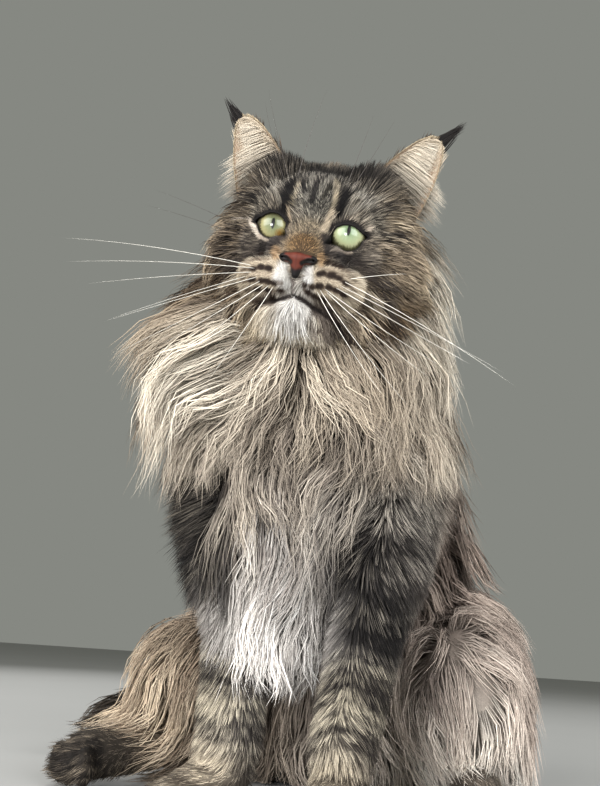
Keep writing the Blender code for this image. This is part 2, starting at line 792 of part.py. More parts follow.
def ear_balls(side, half_width, wall, forward):
    """The balls of an ear's shell, or with forward of the hollow that opens it."""
    middle, across, up, out = ear_frame(side)
    rim = EAR_WALL / 2 + wall
    places = [
        (-1.0, 0.0, 0.0, rim * 2),
        (1.05, 0.0, 0.0, rim * 2),
        (0.0, 0.0, -0.9, 0.009 + wall),
        (0.0, 0.45, -0.55, 0.006 + wall),
        (-0.88, 0.48, 0.0, rim),
        (1.00, 0.48, 0.0, rim),
        (-0.52, 0.82, 0.0, rim),
        (0.66, 0.84, 0.0, rim),
        (0.05, 1.0 + wall * 12, 0.0, rim),
    ]
    sunk = [] if forward else [(x * 0.9, -0.32, depth * 0.9, 0.006) for x, _, depth, _ in places[:3]]
    chain = []
    for x, height, depth, radius in places + sunk:
        place = middle + across * half_width * x + up * height + out * (half_width * depth + forward)
        chain.append(ball(place, (max(radius, EAR_WALL / 4),) * 3))
    return chain


def hull_of_balls(name, chain, collection):
    """The hull of all the balls of a chain at once."""
    points = [point for one in chain for point in sphere_points(*one.at(0), 2)]
    return new_object(name, hull_of(points), collection)


def add_ear_hair(side, half_width, pieces):
    """The tuft at an ear's tip, and the long hair that sweeps out of its cup past the outer edge."""
    middle, across, up, out = ear_frame(side)
    for lean, length, start in EAR_TUFT:
        root = middle + up * start + across * half_width * 0.2
        way = (up.normalized() + across * lean).normalized()
        path = [(root + way * length * share, out) for share in LOCK_SHARES]
        new_object("tuft", lock_mesh(path, EAR_TUFT_WIDTH), pieces)
    for height, rise, depth in EAR_HAIR:
        root = middle + up * height - across * half_width * 0.62 + out * half_width * depth
        end = middle + up * (height + rise) + across * half_width * 1.65 + out * half_width * 0.35
        path = []
        for share in LOCK_SHARES:
            bow = out * half_width * EAR_HAIR_BOW * math.sin(math.pi * share)
            path.append((root.lerp(end, share) + bow, out))
        new_object("hair", lock_mesh(path, EAR_HAIR_WIDTH), pieces)


def add_ears(cat, neighbours, pieces, cutters):
    """Two tall ears, each an open cup on the head."""
    half_width = (EAR_OUTER_BASE - EAR_INNER_BASE).length / 2
    for name, side in (("ear_left", 1), ("ear_right", -1)):
        ear = hull_of_balls(name, ear_balls(side, half_width, 0, 0), cat)
        hollow = ear_balls(side, half_width * CUP_WIDTH_SHARE, -EAR_WALL * CUP_SHRINK, EAR_WALL)
        opening = [ball(one.place + ear_frame(side)[3] * half_width, one.skin) for one in hollow]
        hull_of_balls("cup", hollow + opening, cutters)
        boolean(ear, "DIFFERENCE", cutters)
        add_ear_hair(side, half_width, pieces)
        boolean(ear, "UNION", pieces)
        thinned(ear, EAR_FACES)
        finish(to_cat_frame(ear), neighbours, cutters, GAP)


def paw(wrist, tip, half_width, height):
    """A paw from the wrist to its toes, which lie side by side across its way."""
    wrist, tip = Vector(wrist), Vector(tip)
    way = ((tip - wrist) * Vector((1, 1, 0))).normalized()
    across = Vector((way.y, -way.x, 0))
    sole = Vector((half_width * 0.86, half_width * 0.86, height))
    form = [[ball(wrist, sole), ball(tip, sole)]]
    for number in range(TOES):
        side = (number - (TOES - 1) / 2) / (TOES / 2)
        centre = tip + across * half_width * side + way * half_width * (0.72 - 0.30 * abs(side))
        centre.z = height * 0.72
        toe = Vector((half_width * 0.36, half_width * 0.44, height * 0.76))
        form.append([ball(centre, toe)])
    return form


def form_tree(form, share, voxel, collection):
    """A search tree of a form's outside, with the coat grown to a share."""
    outside = fused_form("outside", form, share, voxel, collection)
    tree = tree_of(outside.data)
    bpy.data.objects.remove(outside)
    return tree


def grown_form(form, share):
    """A form whose skin is the old one's with the coat grown to a share."""
    return [[ball(*one.at(share)) for one in chain] for chain in form]


def neck_belts():
    """Rows of the ruff's locks, which hang from the neck and flare out over the shoulders."""
    belts = []
    for height, count, opening, length in RUFF_ROWS:
        centre = Vector((-0.004, -0.130, height))
        lie = Vector((0, 0, -1))
        belts.append(Belt(centre, UP, FRONT, opening, 360 - opening, count, 0, length, RUFF_WIDTH, lie))
    return belts


def chest_belts():
    """Rows of the bib's locks, which hang between the forelegs."""
    lie = Vector((0, -0.08, -1))
    return [
        Belt(Vector((-0.014, -0.120, height)), UP, FRONT, -spread, spread, count, 0, 0.070, BIB_WIDTH, lie)
        for height, count, spread in BIB_ROWS
    ]


def torso_belts():
    """Rows of locks down the back and the flanks."""
    axis = Vector((0, -0.35, 0.94))
    lie = Vector((0, 0.25, -1))
    return [
        Belt(Vector((0, y, z)), axis, -FRONT, -spread, spread, count, 0, 0.066, BACK_WIDTH, lie)
        for y, z, count, spread in BACK_ROWS
    ]


def thigh_belts(form, side):
    """Rows of locks on the outer side of a thigh, which hang down to the floor."""
    lie = Vector((side * 0.35, 0.2, -1))
    centre = form[0][0].place.lerp(form[0][1].place, 0.35)
    axis = Vector((side, 0, 0))
    return [
        Belt(centre, axis, UP, 0, 360, count, rise, 0.058, THIGH_WIDTH, lie) for count, rise in THIGH_ROWS
    ]


def tail_belts(chain):
    """Rows of the tail's plume, whose locks lie along it towards its tip."""
    belts = []
    for one, following in zip(chain, chain[1:]):
        way = (following.place - one.place).normalized()
        for share in TAIL_ROWS:
            centre = one.place.lerp(following.place, share)
            belts.append(Belt(centre, way, UP, 0, 360, TAIL_ROUND, 0, 0.070, TAIL_WIDTH, way))
    return belts


def add_core(name, form, belts, cat, neighbours, cutters):
    """A node up to the core of its coat, whose trees and rows of locks it hands back."""
    made = fused_form(name, form, CORE_SHARE, BODY_VOXEL, cat)
    core = (tree_of(made.data), form_tree(form, 1, BODY_VOXEL, cat), belts)
    finish(made, neighbours, cutters)
    return core


def add_body(cat, neighbours, cutters):
    """Chest, torso, legs and tail, the long-haired ones up to the cores of their coats."""
    cores = {}
    coats = [
        ("chest", CHEST, chest_belts()),
        ("torso", TORSO, torso_belts()),
        ("thigh_left", THIGH_LEFT, thigh_belts(THIGH_LEFT, 1)),
        ("thigh_right", THIGH_RIGHT, thigh_belts(THIGH_RIGHT, -1)),
    ]
    for name, form, belts in coats:
        cores[name] = add_core(name, form, belts, cat, neighbours, cutters)
    short_furred = {
        "foreleg_left": FORELEG_LEFT,
        "foreleg_right": FORELEG_RIGHT,
        "hindfoot_left": [],
        "hindfoot_right": [],
    }
    for name, form in short_furred.items():
        made = fused_form(name, form + paw(*PAWS[name]), 1, FACE_VOXEL, cat)
        finish(made, neighbours, cutters)
    for name, (first, last) in TAIL_LENGTHS.items():
        chain = TAIL[first : last + 1]
        cores[name] = add_core(name, [chain], tail_belts(chain), cat, neighbours, cutters)
    return cores


def add_coat(name, core, tips, belts, neighbours, pieces, cutters):
    """Joins a node's locks, which keep clear of the other nodes, to its core."""
    made = bpy.data.objects[name]
    others = [other for other in neighbours if other is not made]
    trees = [tree_of(grown_copy(other, cutters, GAP).data) for other in others]
    empty_collection(cutters)
    add_locks(core, tips, belts, pieces, trees)
    faces = len(made.data.polygons) + LOCK_FACES * len(pieces.objects)
    boolean(made, "UNION", pieces)
    keep_largest(made)
    thinned(made, faces)
    clear_of(made, others, cutters, GAP)
    keep_largest(made)
    made.data.shade_smooth()


def main():
    random.seed(SEED)
    for old in list(bpy.data.objects):
        bpy.data.objects.remove(old)
    cat = new_collection("cat")
    pieces = new_collection("pieces")
    cutters = new_collection("cutters")
    neighbours = []
    cores = {"neck": add_core("neck", NECK, neck_belts(), cat, neighbours, cutters)}
    add_eyes(cat, neighbours, cutters)
    add_head(cat, neighbours, pieces, cutters)
    add_ears(cat, neighbours, pieces, cutters)
    cores.update(add_body(cat, neighbours, cutters))
    for name, (core, tips, belts) in cores.items():
        add_coat(name, core, tips, belts, neighbours, pieces, cutters)


main()
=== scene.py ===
"""Looks of a life-size maine coon cat that sits upright with its head turned a little to its left.

Metres, +Z up, in the frame of the solids: the cat faces -Y and its left side is +X. The tables of forms,
shades and marks are in millimetres. The body's forms are chains of balls, each with its place, the radii
of the skin there, the radii out to the tips of the hair and the way from the skin's place to the tips'
place. The head has a frame of its own, with its origin midway between the eyeballs. Signed distances on
a grid give the skin, its normals and the depth of the coat over it. The coat is grown from the skin as
thin closed blades that follow its lie.
"""

import itertools
import math

import bpy
import numpy as np
import openvdb
from mathutils import Euler, Matrix, Vector
from mathutils.kdtree import KDTree


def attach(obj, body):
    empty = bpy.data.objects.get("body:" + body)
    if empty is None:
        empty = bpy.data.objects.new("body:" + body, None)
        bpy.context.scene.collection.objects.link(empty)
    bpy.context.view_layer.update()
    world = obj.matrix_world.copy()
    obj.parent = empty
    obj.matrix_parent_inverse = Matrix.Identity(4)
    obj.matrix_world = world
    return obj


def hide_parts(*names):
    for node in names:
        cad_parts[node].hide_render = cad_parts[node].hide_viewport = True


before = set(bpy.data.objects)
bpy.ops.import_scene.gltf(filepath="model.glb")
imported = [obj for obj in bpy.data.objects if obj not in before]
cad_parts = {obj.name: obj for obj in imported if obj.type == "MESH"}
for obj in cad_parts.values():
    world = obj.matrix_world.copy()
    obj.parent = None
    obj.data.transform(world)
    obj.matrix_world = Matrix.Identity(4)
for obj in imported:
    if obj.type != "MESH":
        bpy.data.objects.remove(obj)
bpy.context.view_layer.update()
random = np.random.default_rng(11)

# Camera and light
CAMERA_PLACE = (0.170, -0.722, 0.105)
CAMERA_AZIMUTH = 18.0
CAMERA_PITCH = 16.3
CAMERA_ROLL = 3.5
FOCAL_PIXELS = 870
PHOTO_HEIGHT = 786
SENSOR = 36.0

# Sizes repeated from the solids
HEAD_PLACE = np.array((0.010, -0.2253, 0.3674))
HEAD_TURN = np.array(Euler([math.radians(angle) for angle in (13.5, 7.7, 10.1)], "YXZ").to_matrix())
EYE_X = {1: 0.0243, -1: 0.0253}
EYE_RADIUS = 0.0122
# Half width, half height and height of the middle of each opening between the lids
LIDS = {1: (0.0099, 0.0080, -0.0020), -1: (0.0088, 0.0081, -0.0002)}
IRIS = {1: 0.792, -1: 0.705}
LID_THICKNESS = 0.0019
EYE_GAP = 0.0002
EAR_INNER_BASE = np.array((0.037, 0.038, 0.057))
EAR_OUTER_BASE = np.array((0.066, 0.044, 0.032))
EAR_TIP = np.array((0.073, 0.048, 0.090))
EAR_WALL = 0.0018
# Places across and up of the mouth, whose depth is that of the face's front
MOUTH_LINE = [
    (-0.0275, -0.0532), (-0.0217, -0.0516), (-0.0141, -0.0502), (-0.0068, -0.0483), (-0.0020, -0.0458),
    (0.0042, -0.0475), (0.0082, -0.0492), (0.0119, -0.0507), (0.0151, -0.0518), (0.0195, -0.0534),
    (0.0250, -0.0560),
]
MOUTH_RADIUS = 0.0013
PHILTRUM = [(-0.0022, -0.0355), (-0.0022, -0.0405), (-0.0020, -0.0458)]
PHILTRUM_RADIUS = 0.0004
NOSE_SHIFT = np.array((-0.0012, 0, 0))
FACE_FUR = 0.003
# Middle of the nose leather, and how far back the openings between the lids reach
NOSE_MIDDLE = (0, -0.034, -0.027)
EYE_DEPTH = 0.006

# How far the skin of the long-haired parts lies towards the tips of the coat
SKIN_SHARE = 0.25
FLOOR_CLEARANCE = 0.002

# Steps and roundings of the grids of distances, and their corners
BODY_STEP = 0.003
FACE_STEP = 0.0012
NOSE_STEP = 0.0005
BODY_SOFT = 0.014
PAW_SOFT = 0.004
FACE_SOFT = 0.005
CHEEK_TIPS_SOFT = 0.010
CHIN_SOFT = 0.0015
LID_SOFT = 0.0008
SOCKET_SOFT = 0.0003
MOUTH_SOFT = 0.0012
FAR = 0.10
SLOPE_STEP = 0.002
BODY_BOX = (-0.330, -0.300, -0.030), (0.200, 0.290, 0.480)
FACE_BOX = (-0.100, -0.056, -0.090), (0.100, 0.100, 0.075)
TIPS_BOX = (-0.110, -0.066, -0.100), (0.110, 0.110, 0.085)
NOSE_BOX = (-0.016, -0.046, -0.042), (0.016, -0.018, -0.014)

DOWN = np.array((0, 0, -1.0))
ACROSS = np.array((1.0, 0, 0))
# The way that the hair is seen from most
FRONT = np.array((0.28, -0.96, -0.05))

# Colours as 8-bit sRGB
BLACK = (20, 18, 18)
WHITE = (238, 234, 228)
SPOT = (38, 28, 23)
ROW = (74, 60, 50)
PAD_EDGE = (226, 213, 190)


def unit(ways):
    """Ways of length one."""
    return ways / np.maximum(np.linalg.norm(ways, axis=-1, keepdims=True), 1e-9)


def smoothstep(low, high, values):
    """0 below low, 1 above high and smooth between them."""
    share = np.clip((values - low) / (high - low), 0, 1)
    return share * share * (3 - 2 * share)


def linear(colour):
    """A colour given as 8-bit sRGB, as linear light."""
    value = np.array(colour, float) / 255
    return np.where(value <= 0.04045, value / 12.92, ((value + 0.055) / 1.055) ** 2.4)


def ball(place, skin, tips=None, shift=(0, 0, 0), short=0.0):
    """Place, skin radii, tip radii and shift of a ball, whose hair is short where no tips are given."""
    skin = np.array(skin, float)
    tips = skin + short if tips is None else np.array(tips, float)
    return np.array(place, float), skin, tips, np.array(shift)


def chain(*balls, short=0.0):
    """A chain of balls that are given in millimetres."""
    return [ball(*(np.array(value) / 1000 for value in one), short=short) for one in balls]


def mirrored(form):
    """The same chains on the other side of the X = 0 plane."""
    flip = np.array((-1, 1, 1))
    return [[(one[0] * flip, one[1], one[2], one[3] * flip) for one in balls] for balls in form]


def grown(one, share):
    """Place and radii of a ball with the coat grown to a share."""
    place, skin, tips, shift = one
    return place + shift * share, skin + (tips - skin) * share


def links(form, share):
    """Each two following balls of a form, with the coat grown to a share."""
    for balls in form:
        for first, second in zip(balls, balls[1:] or balls):
            yield grown(first, share), grown(second, share)


FACE_MIDDLE = [
    chain(((0, 42, 16), (37, 45, 36)), short=FACE_FUR),
    chain(((0, 14, 20), (28, 26, 22)), short=FACE_FUR),
    chain(((0, 4, 7), (13, 12, 12)), ((0, -24, -18), (10.5, 10, 9), (11.5, 11, 10)), short=FACE_FUR),
    chain(((0, 30, -30), (30, 32, 20)), short=FACE_FUR),
]
CHIN = [
    chain(((-1, -11.5, -52), (15, 15.5, 11.2)), short=FACE_FUR),
    chain(((13, -5, -52.5), (12.5, 16, 10.5)), ((28, 20, -46), (14, 18, 14)), short=FACE_FUR),
]
FACE_SIDE = [
    chain(((22, 7, 13), (14, 11, 10)), short=FACE_FUR),
    chain(((24, 36, 18), (28, 32, 26)), short=FACE_FUR),
    chain(((26.5, 10, -1), (16.5, 13.5, 15.5)), short=FACE_FUR),
    chain(((13.5, -10, -15), (11, 13, 12)), short=FACE_FUR),
    chain(((16.5, -14.5, -35.5), (21.2, 17.5, 13)), short=FACE_FUR),
    chain(((26.2, -6, -34.5), (12.8, 17, 11.2)), short=FACE_FUR),
    chain(((8, -6, -47), (12, 14, 9)), ((30, 34, -26), (14, 18, 18)), short=FACE_FUR),
    chain(((32, 18, -12), (18, 24, 22)), short=FACE_FUR),
    chain(((31, 36, 36), (16, 19, 15.5)), short=FACE_FUR),
]
NOSE = [
    chain(((8.6, -29.8, -23.2), (3.6, 4, 2.9)), ((0, -32.5, -23.5), (5, 4.6, 3.4))),
    chain(((0, -32.8, -24), (4.8, 4.6, 3.4)), ((0, -31.8, -33.5), (2, 2.6, 2.2))),
]
NOSTRIL = [
    chain(
        ((4.6, -37.2, -27), (1.5, 3, 1.1)),
        ((7.8, -35.6, -24.6), (1.6, 3, 1.2)),
        ((10, -33, -23.8), (0.8, 3, 0.6)),
    ),
]
CHEEK = [
    chain(
        ((34, 40, 18), (12, 22, 14), (44, 34, 26)),
        ((36, 34, -14), (18, 24, 20), (54, 36, 36)),
        ((20, 26, -44), (14, 20, 12), (46, 32, 28)),
    ),
]
FORMS = {
    "neck": [
        chain(
            ((2, -135, 362), (45, 40, 35), (100, 66, 58), (-12, -10, 20)),
            ((-4, -125, 300), (52, 48, 45), (142, 92, 74), (-27, -22, 8)),
        ),
        chain(
            ((-4, -120, 285), (52, 48, 45), (146, 88, 60), (-27, -24, 4)),
            ((-4, -115, 245), (56, 50, 40), (102, 80, 46), (-2, -15, -8)),
        ),
    ],
    "chest": [
        chain(
            ((-14, -134, 210), (45, 44, 40), (70, 86, 46)),
            ((-18, -142, 160), (36, 38, 40), (60, 70, 46)),
            ((-20, -152, 115), (12, 14, 16), (40, 44, 38)),
        ),
    ],
    "torso": [
        chain(
            ((0, 20, 82), (70, 76, 74), (102, 108, 102)),
            ((0, -6, 155), (64, 68, 68), (98, 98, 90)),
            ((0, -66, 215), (62, 68, 74), (92, 84, 86)),
        ),
        chain(((0, -75, 265), (48, 52, 42), (76, 78, 56))),
    ],
    "thigh_left": [
        chain(((78, 12, 80), (40, 68, 64), (60, 92, 84)), ((92, -66, 80), (28, 34, 40), (42, 46, 60))),
        chain(((98, -20, 40), (22, 50, 26), (36, 72, 44))),
    ],
    "thigh_right": [
        chain(((-80, 12, 85), (40, 68, 66), (62, 92, 88)), ((-120, -50, 78), (30, 36, 38), (64, 48, 52))),
        chain(((-118, -20, 40), (24, 48, 26), (56, 60, 44))),
    ],
    "foreleg_left": [
        chain(
            ((52, -108, 215), (26, 38, 42), (35, 47, 51)),
            ((45, -143, 155), (22, 28, 28), (30, 36, 36)),
            ((36, -188, 48), (18, 18.5, 20), (26, 26.5, 28)),
        ),
    ],
    "foreleg_right": [
        chain(
            ((-70, -104, 205), (28, 38, 44), (42, 52, 58)),
            ((-50, -142, 155), (23, 28, 28), (31, 36, 36)),
            ((-36, -188, 48), (18, 18.5, 20), (26, 26.5, 28)),
        ),
    ],
    "tail": [
        chain(
            ((0, 85, 62), (21, 21, 21), (44, 44, 44)),
            ((-30, 145, 50), (18, 18, 18), (52, 52, 52)),
            ((-95, 185, 48), (16, 16, 16), (56, 56, 54)),
            ((-165, 180, 46), (14, 14, 14), (56, 56, 52)),
            ((-220, 135, 42), (11, 11, 11), (50, 50, 46)),
            ((-245, 70, 30), (6, 6, 6), (26, 26, 26)),
        ),
    ],
}
# Wrist or heel, ball of the foot, half width and height of each paw
PAWS = {
    "paw_left": ((36, -190, 28), (38, -212, 16.5), 24, 18),
    "paw_right": ((-37, -190, 28), (-54, -209, 16.5), 24, 18),
    "hindfoot_left": ((98, -40, 28), (106, -112, 20), 24, 20),
    "hindfoot_right": ((-130, -45, 30), (-173, -112, 22), 26, 22),
}
TOES = 4
PAW_FUR = 0.0025
SHORT_HAIRED = ("foreleg_left", "foreleg_right", *PAWS)


def paw(wrist, tip, half_width, height):
    """A paw from the wrist to its toes, which lie side by side across its way."""
    way = unit((tip - wrist) * (1, 1, 0))
    across = np.array((way[1], -way[0], 0))
    sole = np.array((half_width * 0.80, half_width * 0.80, height * 0.92)) - PAW_FUR
    form = [[ball(wrist, sole, short=PAW_FUR), ball(tip, sole, short=PAW_FUR)]]
    for number in range(TOES):
        side = (number - (TOES - 1) / 2) / (TOES / 2)
        centre = tip + across * half_width * side + way * half_width * (0.72 - 0.30 * abs(side))
        centre[2] = height * 0.72
        toe = np.array((half_width * 0.34, half_width * 0.44, height * 0.76)) - PAW_FUR
        form.append([ball(centre, toe, short=PAW_FUR)])
    return form


FORMS.update({name: paw(*(np.array(size) / 1000 for size in sizes)) for name, sizes in PAWS.items()})


def off_line(points, start, end):
    """How far along the line between two places points lie, from 0 to 1, and how they lie off it."""
    way = end - start
    share = np.clip((points - start) @ way / max(way @ way, 1e-12), 0, 1)[:, None]
    return share, points - start - share * way


def link_distance(points, first, second):
    """Signed distance from points to the round body between two balls."""
    (start, start_radii), (end, end_radii) = first, second
    share, offset = off_line(points, start, end)
    radii = start_radii + share * (end_radii - start_radii)
    near = np.linalg.norm(offset / radii, axis=1)
    return near * (near - 1) / np.maximum(np.linalg.norm(offset / radii**2, axis=1), 1e-9)


def smooth_min(first, second, soft):
    """The lesser of two distances, rounded where they are alike."""
    near = np.maximum(soft - np.abs(first - second), 0) / soft
    return np.minimum(first, second) - near * near * soft / 4


def form_distance(points, form, share):
    """Signed distance from points to a form."""
    return np.min([link_distance(points, *link) for link in links(form, share)], axis=0)


class Shape:
    """A body that is known by its signed distances."""

    def slope(self, points):
        """The ways out of the body at points."""
        shifts = np.eye(3) * SLOPE_STEP
        return unit(np.stack([self.at(points + shift) - self.at(points - shift) for shift in shifts], 1))


class Field(Shape):
    """Signed distances to a body on a grid of points."""

    def __init__(self, low, high, step):
        self.low = np.array(low, float)
        self.step = step
        counts = np.ceil((np.array(high) - self.low) / step).astype(int) + 1
        self.values = np.full(counts, FAR, np.float32)

    def places(self, first, last):
        """The grid's points from one corner up to another."""
        axes = [self.low[axis] + self.step * np.arange(first[axis], last[axis]) for axis in range(3)]
        return np.stack(np.meshgrid(*axes, indexing="ij"), -1).reshape(-1, 3)

    def change(self, link, change, margin=FAR):
        """Changes the values round a link, each from the old one and the link's distance."""
        low = np.minimum(link[0][0] - link[0][1], link[1][0] - link[1][1]) - margin
        high = np.maximum(link[0][0] + link[0][1], link[1][0] + link[1][1]) + margin
        first = np.maximum(np.floor((low - self.low) / self.step).astype(int), 0)
        last = np.minimum(np.ceil((high - self.low) / self.step).astype(int) + 1, self.values.shape)
        part = tuple(slice(a, b) for a, b in zip(first, last))
        near = link_distance(self.places(first, last), *link).reshape(self.values[part].shape)
        self.values[part] = change(self.values[part], near)

    def join(self, form, share, soft):
        """Adds a form, with the coat grown to a share."""
        for link in links(form, share):
            self.change(link, lambda old, near: smooth_min(old, near, soft))

    def cut(self, form, soft):
        """Takes a form away."""
        for link in links(form, 0):
            self.change(link, lambda old, near: -smooth_min(-old, near, soft), soft * 2)

    def at(self, points):
        """Signed distances at points, between the grid's own and on beyond its sides."""
        place = (points - self.low) / self.step
        inside = np.clip(place, 0, np.array(self.values.shape) - 1.001)
        base = inside.astype(int)
        share = inside - base
        found = np.linalg.norm(place - inside, axis=1) * self.step
        for corner in itertools.product((0, 1), repeat=3):
            weight = np.prod(np.where(corner, share, 1 - share), axis=1)
            found += weight * self.values[tuple((base + corner).T)]
        return found

    def surface(self):
        """Points and triangles of the body's surface."""
        grid = openvdb.FloatGrid(background=FAR)
        grid.copyFromArray(self.values)
        points, quads = grid.convertToQuads(isovalue=0.0)
        return points * self.step + self.low, halved(quads).astype(int)


def halved(quads):
    """Two triangles for each quad."""
    return np.concatenate([quads[:, [0, 1, 2]], quads[:, [0, 2, 3]]])


def to_cat(points):
    """Points of the head's frame in the cat's frame."""
    return points @ HEAD_TURN.T + HEAD_PLACE


def to_head(points):
    """Points of the cat's frame in the head's frame."""
    return (points - HEAD_PLACE) @ HEAD_TURN


class Whole(Shape):
    """The head, which has its own frame, and the body as one."""

    SOFT = 0.012

    def __init__(self, head, body):
        self.head, self.body = head, body

    def at(self, points):
        """Signed distances at points of the cat's frame."""
        return smooth_min(self.head.at(to_head(points)), self.body.at(points), self.SOFT)


# Places of the ends of the points of the lids, and the points' half width at the eye's middle
LID_POINTS = ((-0.0115, -0.0078), (0.0122, 0.0030))
LID_POINT_WIDTH = 0.0074


def lids_distance(points, side):
    """Distance outside the opening between the lids of one side, seen from the front."""
    half_width, half_height, middle = LIDS[side]
    seen = np.stack([(points[:, 0] - side * EYE_X[side]) * side, points[:, 2] - middle], 1)
    opening = (np.hypot(seen[:, 0] / half_width, seen[:, 1] / half_height) - 1) * half_height
    for end in LID_POINTS:
        share, offset = off_line(seen, np.zeros(2), np.array(end))
        point = np.linalg.norm(offset, axis=1) - LID_POINT_WIDTH * (1 - share[:, 0]) - 0.0005
        opening = np.minimum(opening, point)
    return opening


def lids_gap(points):
    """Distance outside the nearer one of the openings between the lids."""
    return np.minimum(lids_distance(points, 1), lids_distance(points, -1))


def on_front(field, places):
    """Places on the front of the face, from how far they lie across and up."""
    depths = np.arange(-0.055, 0.040, 0.0004)
    found = []
    for across, up in places:
        ray = np.stack([np.full_like(depths, across), depths, np.full_like(depths, up)], 1)
        found.append((across, depths[np.argmax(field.at(ray) < 0)], up))
    return found


def face_field():
    """The head's skin in its own frame, with lids, sockets and the line of the mouth."""
    field = Field(*FACE_BOX, FACE_STEP)
    field.join(FACE_MIDDLE + FACE_SIDE + mirrored(FACE_SIDE), 0, FACE_SOFT)
    field.join(CHEEK + mirrored(CHEEK), SKIN_SHARE, FACE_SOFT)
    field.join(CHIN + mirrored(CHIN[1:]), 0, CHIN_SOFT)
    eyes = [[ball((side * EYE_X[side], 0, 0), (EYE_RADIUS,) * 3, short=LID_THICKNESS)] for side in (1, -1)]
    field.join(eyes, 1, FACE_SOFT)
    counts = field.values.shape
    points = field.places((0, 0, 0), counts)
    for side in (1, -1):
        opening = np.maximum(lids_distance(points, side), points[:, 1] - 0.002).reshape(counts)
        field.values = -smooth_min(-field.values, opening.astype(np.float32), LID_SOFT)
    field.cut([[ball(one[0][0], one[0][1] + EYE_GAP)] for one in eyes], SOCKET_SOFT)
    for line, radius in ((MOUTH_LINE, MOUTH_RADIUS), (PHILTRUM, PHILTRUM_RADIUS)):
        field.cut([[ball(place, (radius,) * 3) for place in on_front(field, line)]], MOUTH_SOFT)
    return field


def head_tips():
    """How far the head's hair reaches, in its own frame."""
    field = Field(*TIPS_BOX, BODY_STEP)
    field.join(FACE_MIDDLE + FACE_SIDE + mirrored(FACE_SIDE), 1, FACE_SOFT)
    field.join(CHEEK + mirrored(CHEEK), 1, CHEEK_TIPS_SOFT)
    field.join(CHIN + mirrored(CHIN[1:]), 1, FACE_SOFT)
    return field


def body_field(long_share, short_share):
    """The body with the coat of its long-haired and its short-haired parts grown to two shares."""
    field = Field(*BODY_BOX, BODY_STEP)
    for name, form in FORMS.items():
        share = short_share if name in SHORT_HAIRED else long_share
        field.join(form, share, PAW_SOFT if name in PAWS else BODY_SOFT)
    return field


def new_mesh(name, points, triangles):
    """A smooth mesh of triangles, in the scene."""
    mesh = bpy.data.meshes.new(name)
    mesh.vertices.add(len(points))
    mesh.vertices.foreach_set("co", np.asarray(points, np.float32).ravel())
    mesh.loops.add(len(triangles) * 3)
    mesh.loops.foreach_set("vertex_index", np.asarray(triangles, np.int32).ravel())
    mesh.polygons.add(len(triangles))
    mesh.polygons.foreach_set("loop_start", np.arange(0, len(triangles) * 3, 3, dtype=np.int32))
    mesh.update(calc_edges=True)
    mesh.shade_smooth()
    made = bpy.data.objects.new(name, mesh)
    bpy.context.scene.collection.objects.link(made)
    return made


def set_colours(made, colours):
    """Gives each point of a mesh its colour, in linear light."""
    layer = made.data.color_attributes.new("Coat", "FLOAT_COLOR", "POINT")
    full = np.ones((len(colours), 4), np.float32)
    full[:, :3] = colours
    layer.data.foreach_set("color", full.ravel())


# Shades: place, reach, length of the hair, its light and dark colour, and the share of light hairs.
# Those of the face are in millimetres in the head's frame and stand for both sides.
FACE_SHADES = [
    ((0, -30, -13), 6, 2.3, (184, 147, 102), (26, 18, 12), 0.40),
    ((0, -22, 0), 6, 2.8, (196, 178, 150), (28, 24, 20), 0.40),
    ((0, -13, 20), 8, 3.5, (204, 196, 180), (13, 12, 11), 0.23),
    ((0, 4, 42), 12, 5.6, (176, 168, 157), (8, 7, 7), 0.12),
    ((28, 35, 50), 14, 10.0, (122, 114, 104), (10, 9, 9), 0.11),
    ((31, 3, 30), 6, 4.6, (216, 208, 194), (14, 12, 11), 0.25),
    ((42, 4, 14), 9, 6.5, (192, 181, 163), (19, 17, 16), 0.24),
    ((25, -12, -15), 7, 4.6, (144, 136, 127), (21, 19, 19), 0.27),
    ((40, 0, -12), 9, 8.0, (170, 158, 142), (29, 25, 24), 0.30),
    ((52, 8, -8), 10, 18.0, (186, 166, 140), (36, 30, 26), 0.37),
    ((46, 10, -28), 8, 20.0, (186, 168, 142), (44, 36, 31), 0.40),
    ((60, 22, 16), 12, 28.0, (172, 154, 128), (48, 41, 36), 0.40),
    ((70, 28, -6), 14, 38.0, (236, 216, 186), (110, 94, 78), 0.66),
    ((50, 14, -42), 12, 30.0, (150, 125, 96), (42, 32, 25), 0.31),
    ((20, -29, -35), 8, 2.4, (232, 217, 192), (98, 83, 68), 0.66),
    ((36, -12, -35), 6, 6.0, (222, 206, 180), (86, 73, 60), 0.58),
    ((6, -30, -42), 4, 2.4, (236, 232, 226), (78, 72, 68), 0.62),
    ((0, -26, -56), 9, 9.0, (244, 241, 236), (130, 124, 118), 0.80),
    ((0, -10, -63), 10, 20.0, (246, 236, 218), (172, 156, 134), 0.82),
    ((18, 4, -60), 12, 24.0, (236, 221, 194), (130, 112, 94), 0.68),
    ((0, 14, -62), 10, 24.0, (236, 219, 194), (120, 102, 86), 0.68),
    ((0, 70, 30), 25, 26.0, (168, 150, 128), (50, 44, 38), 0.40),
    ((42, 60, 10), 20, 32.0, (186, 167, 140), (62, 53, 44), 0.45),
]
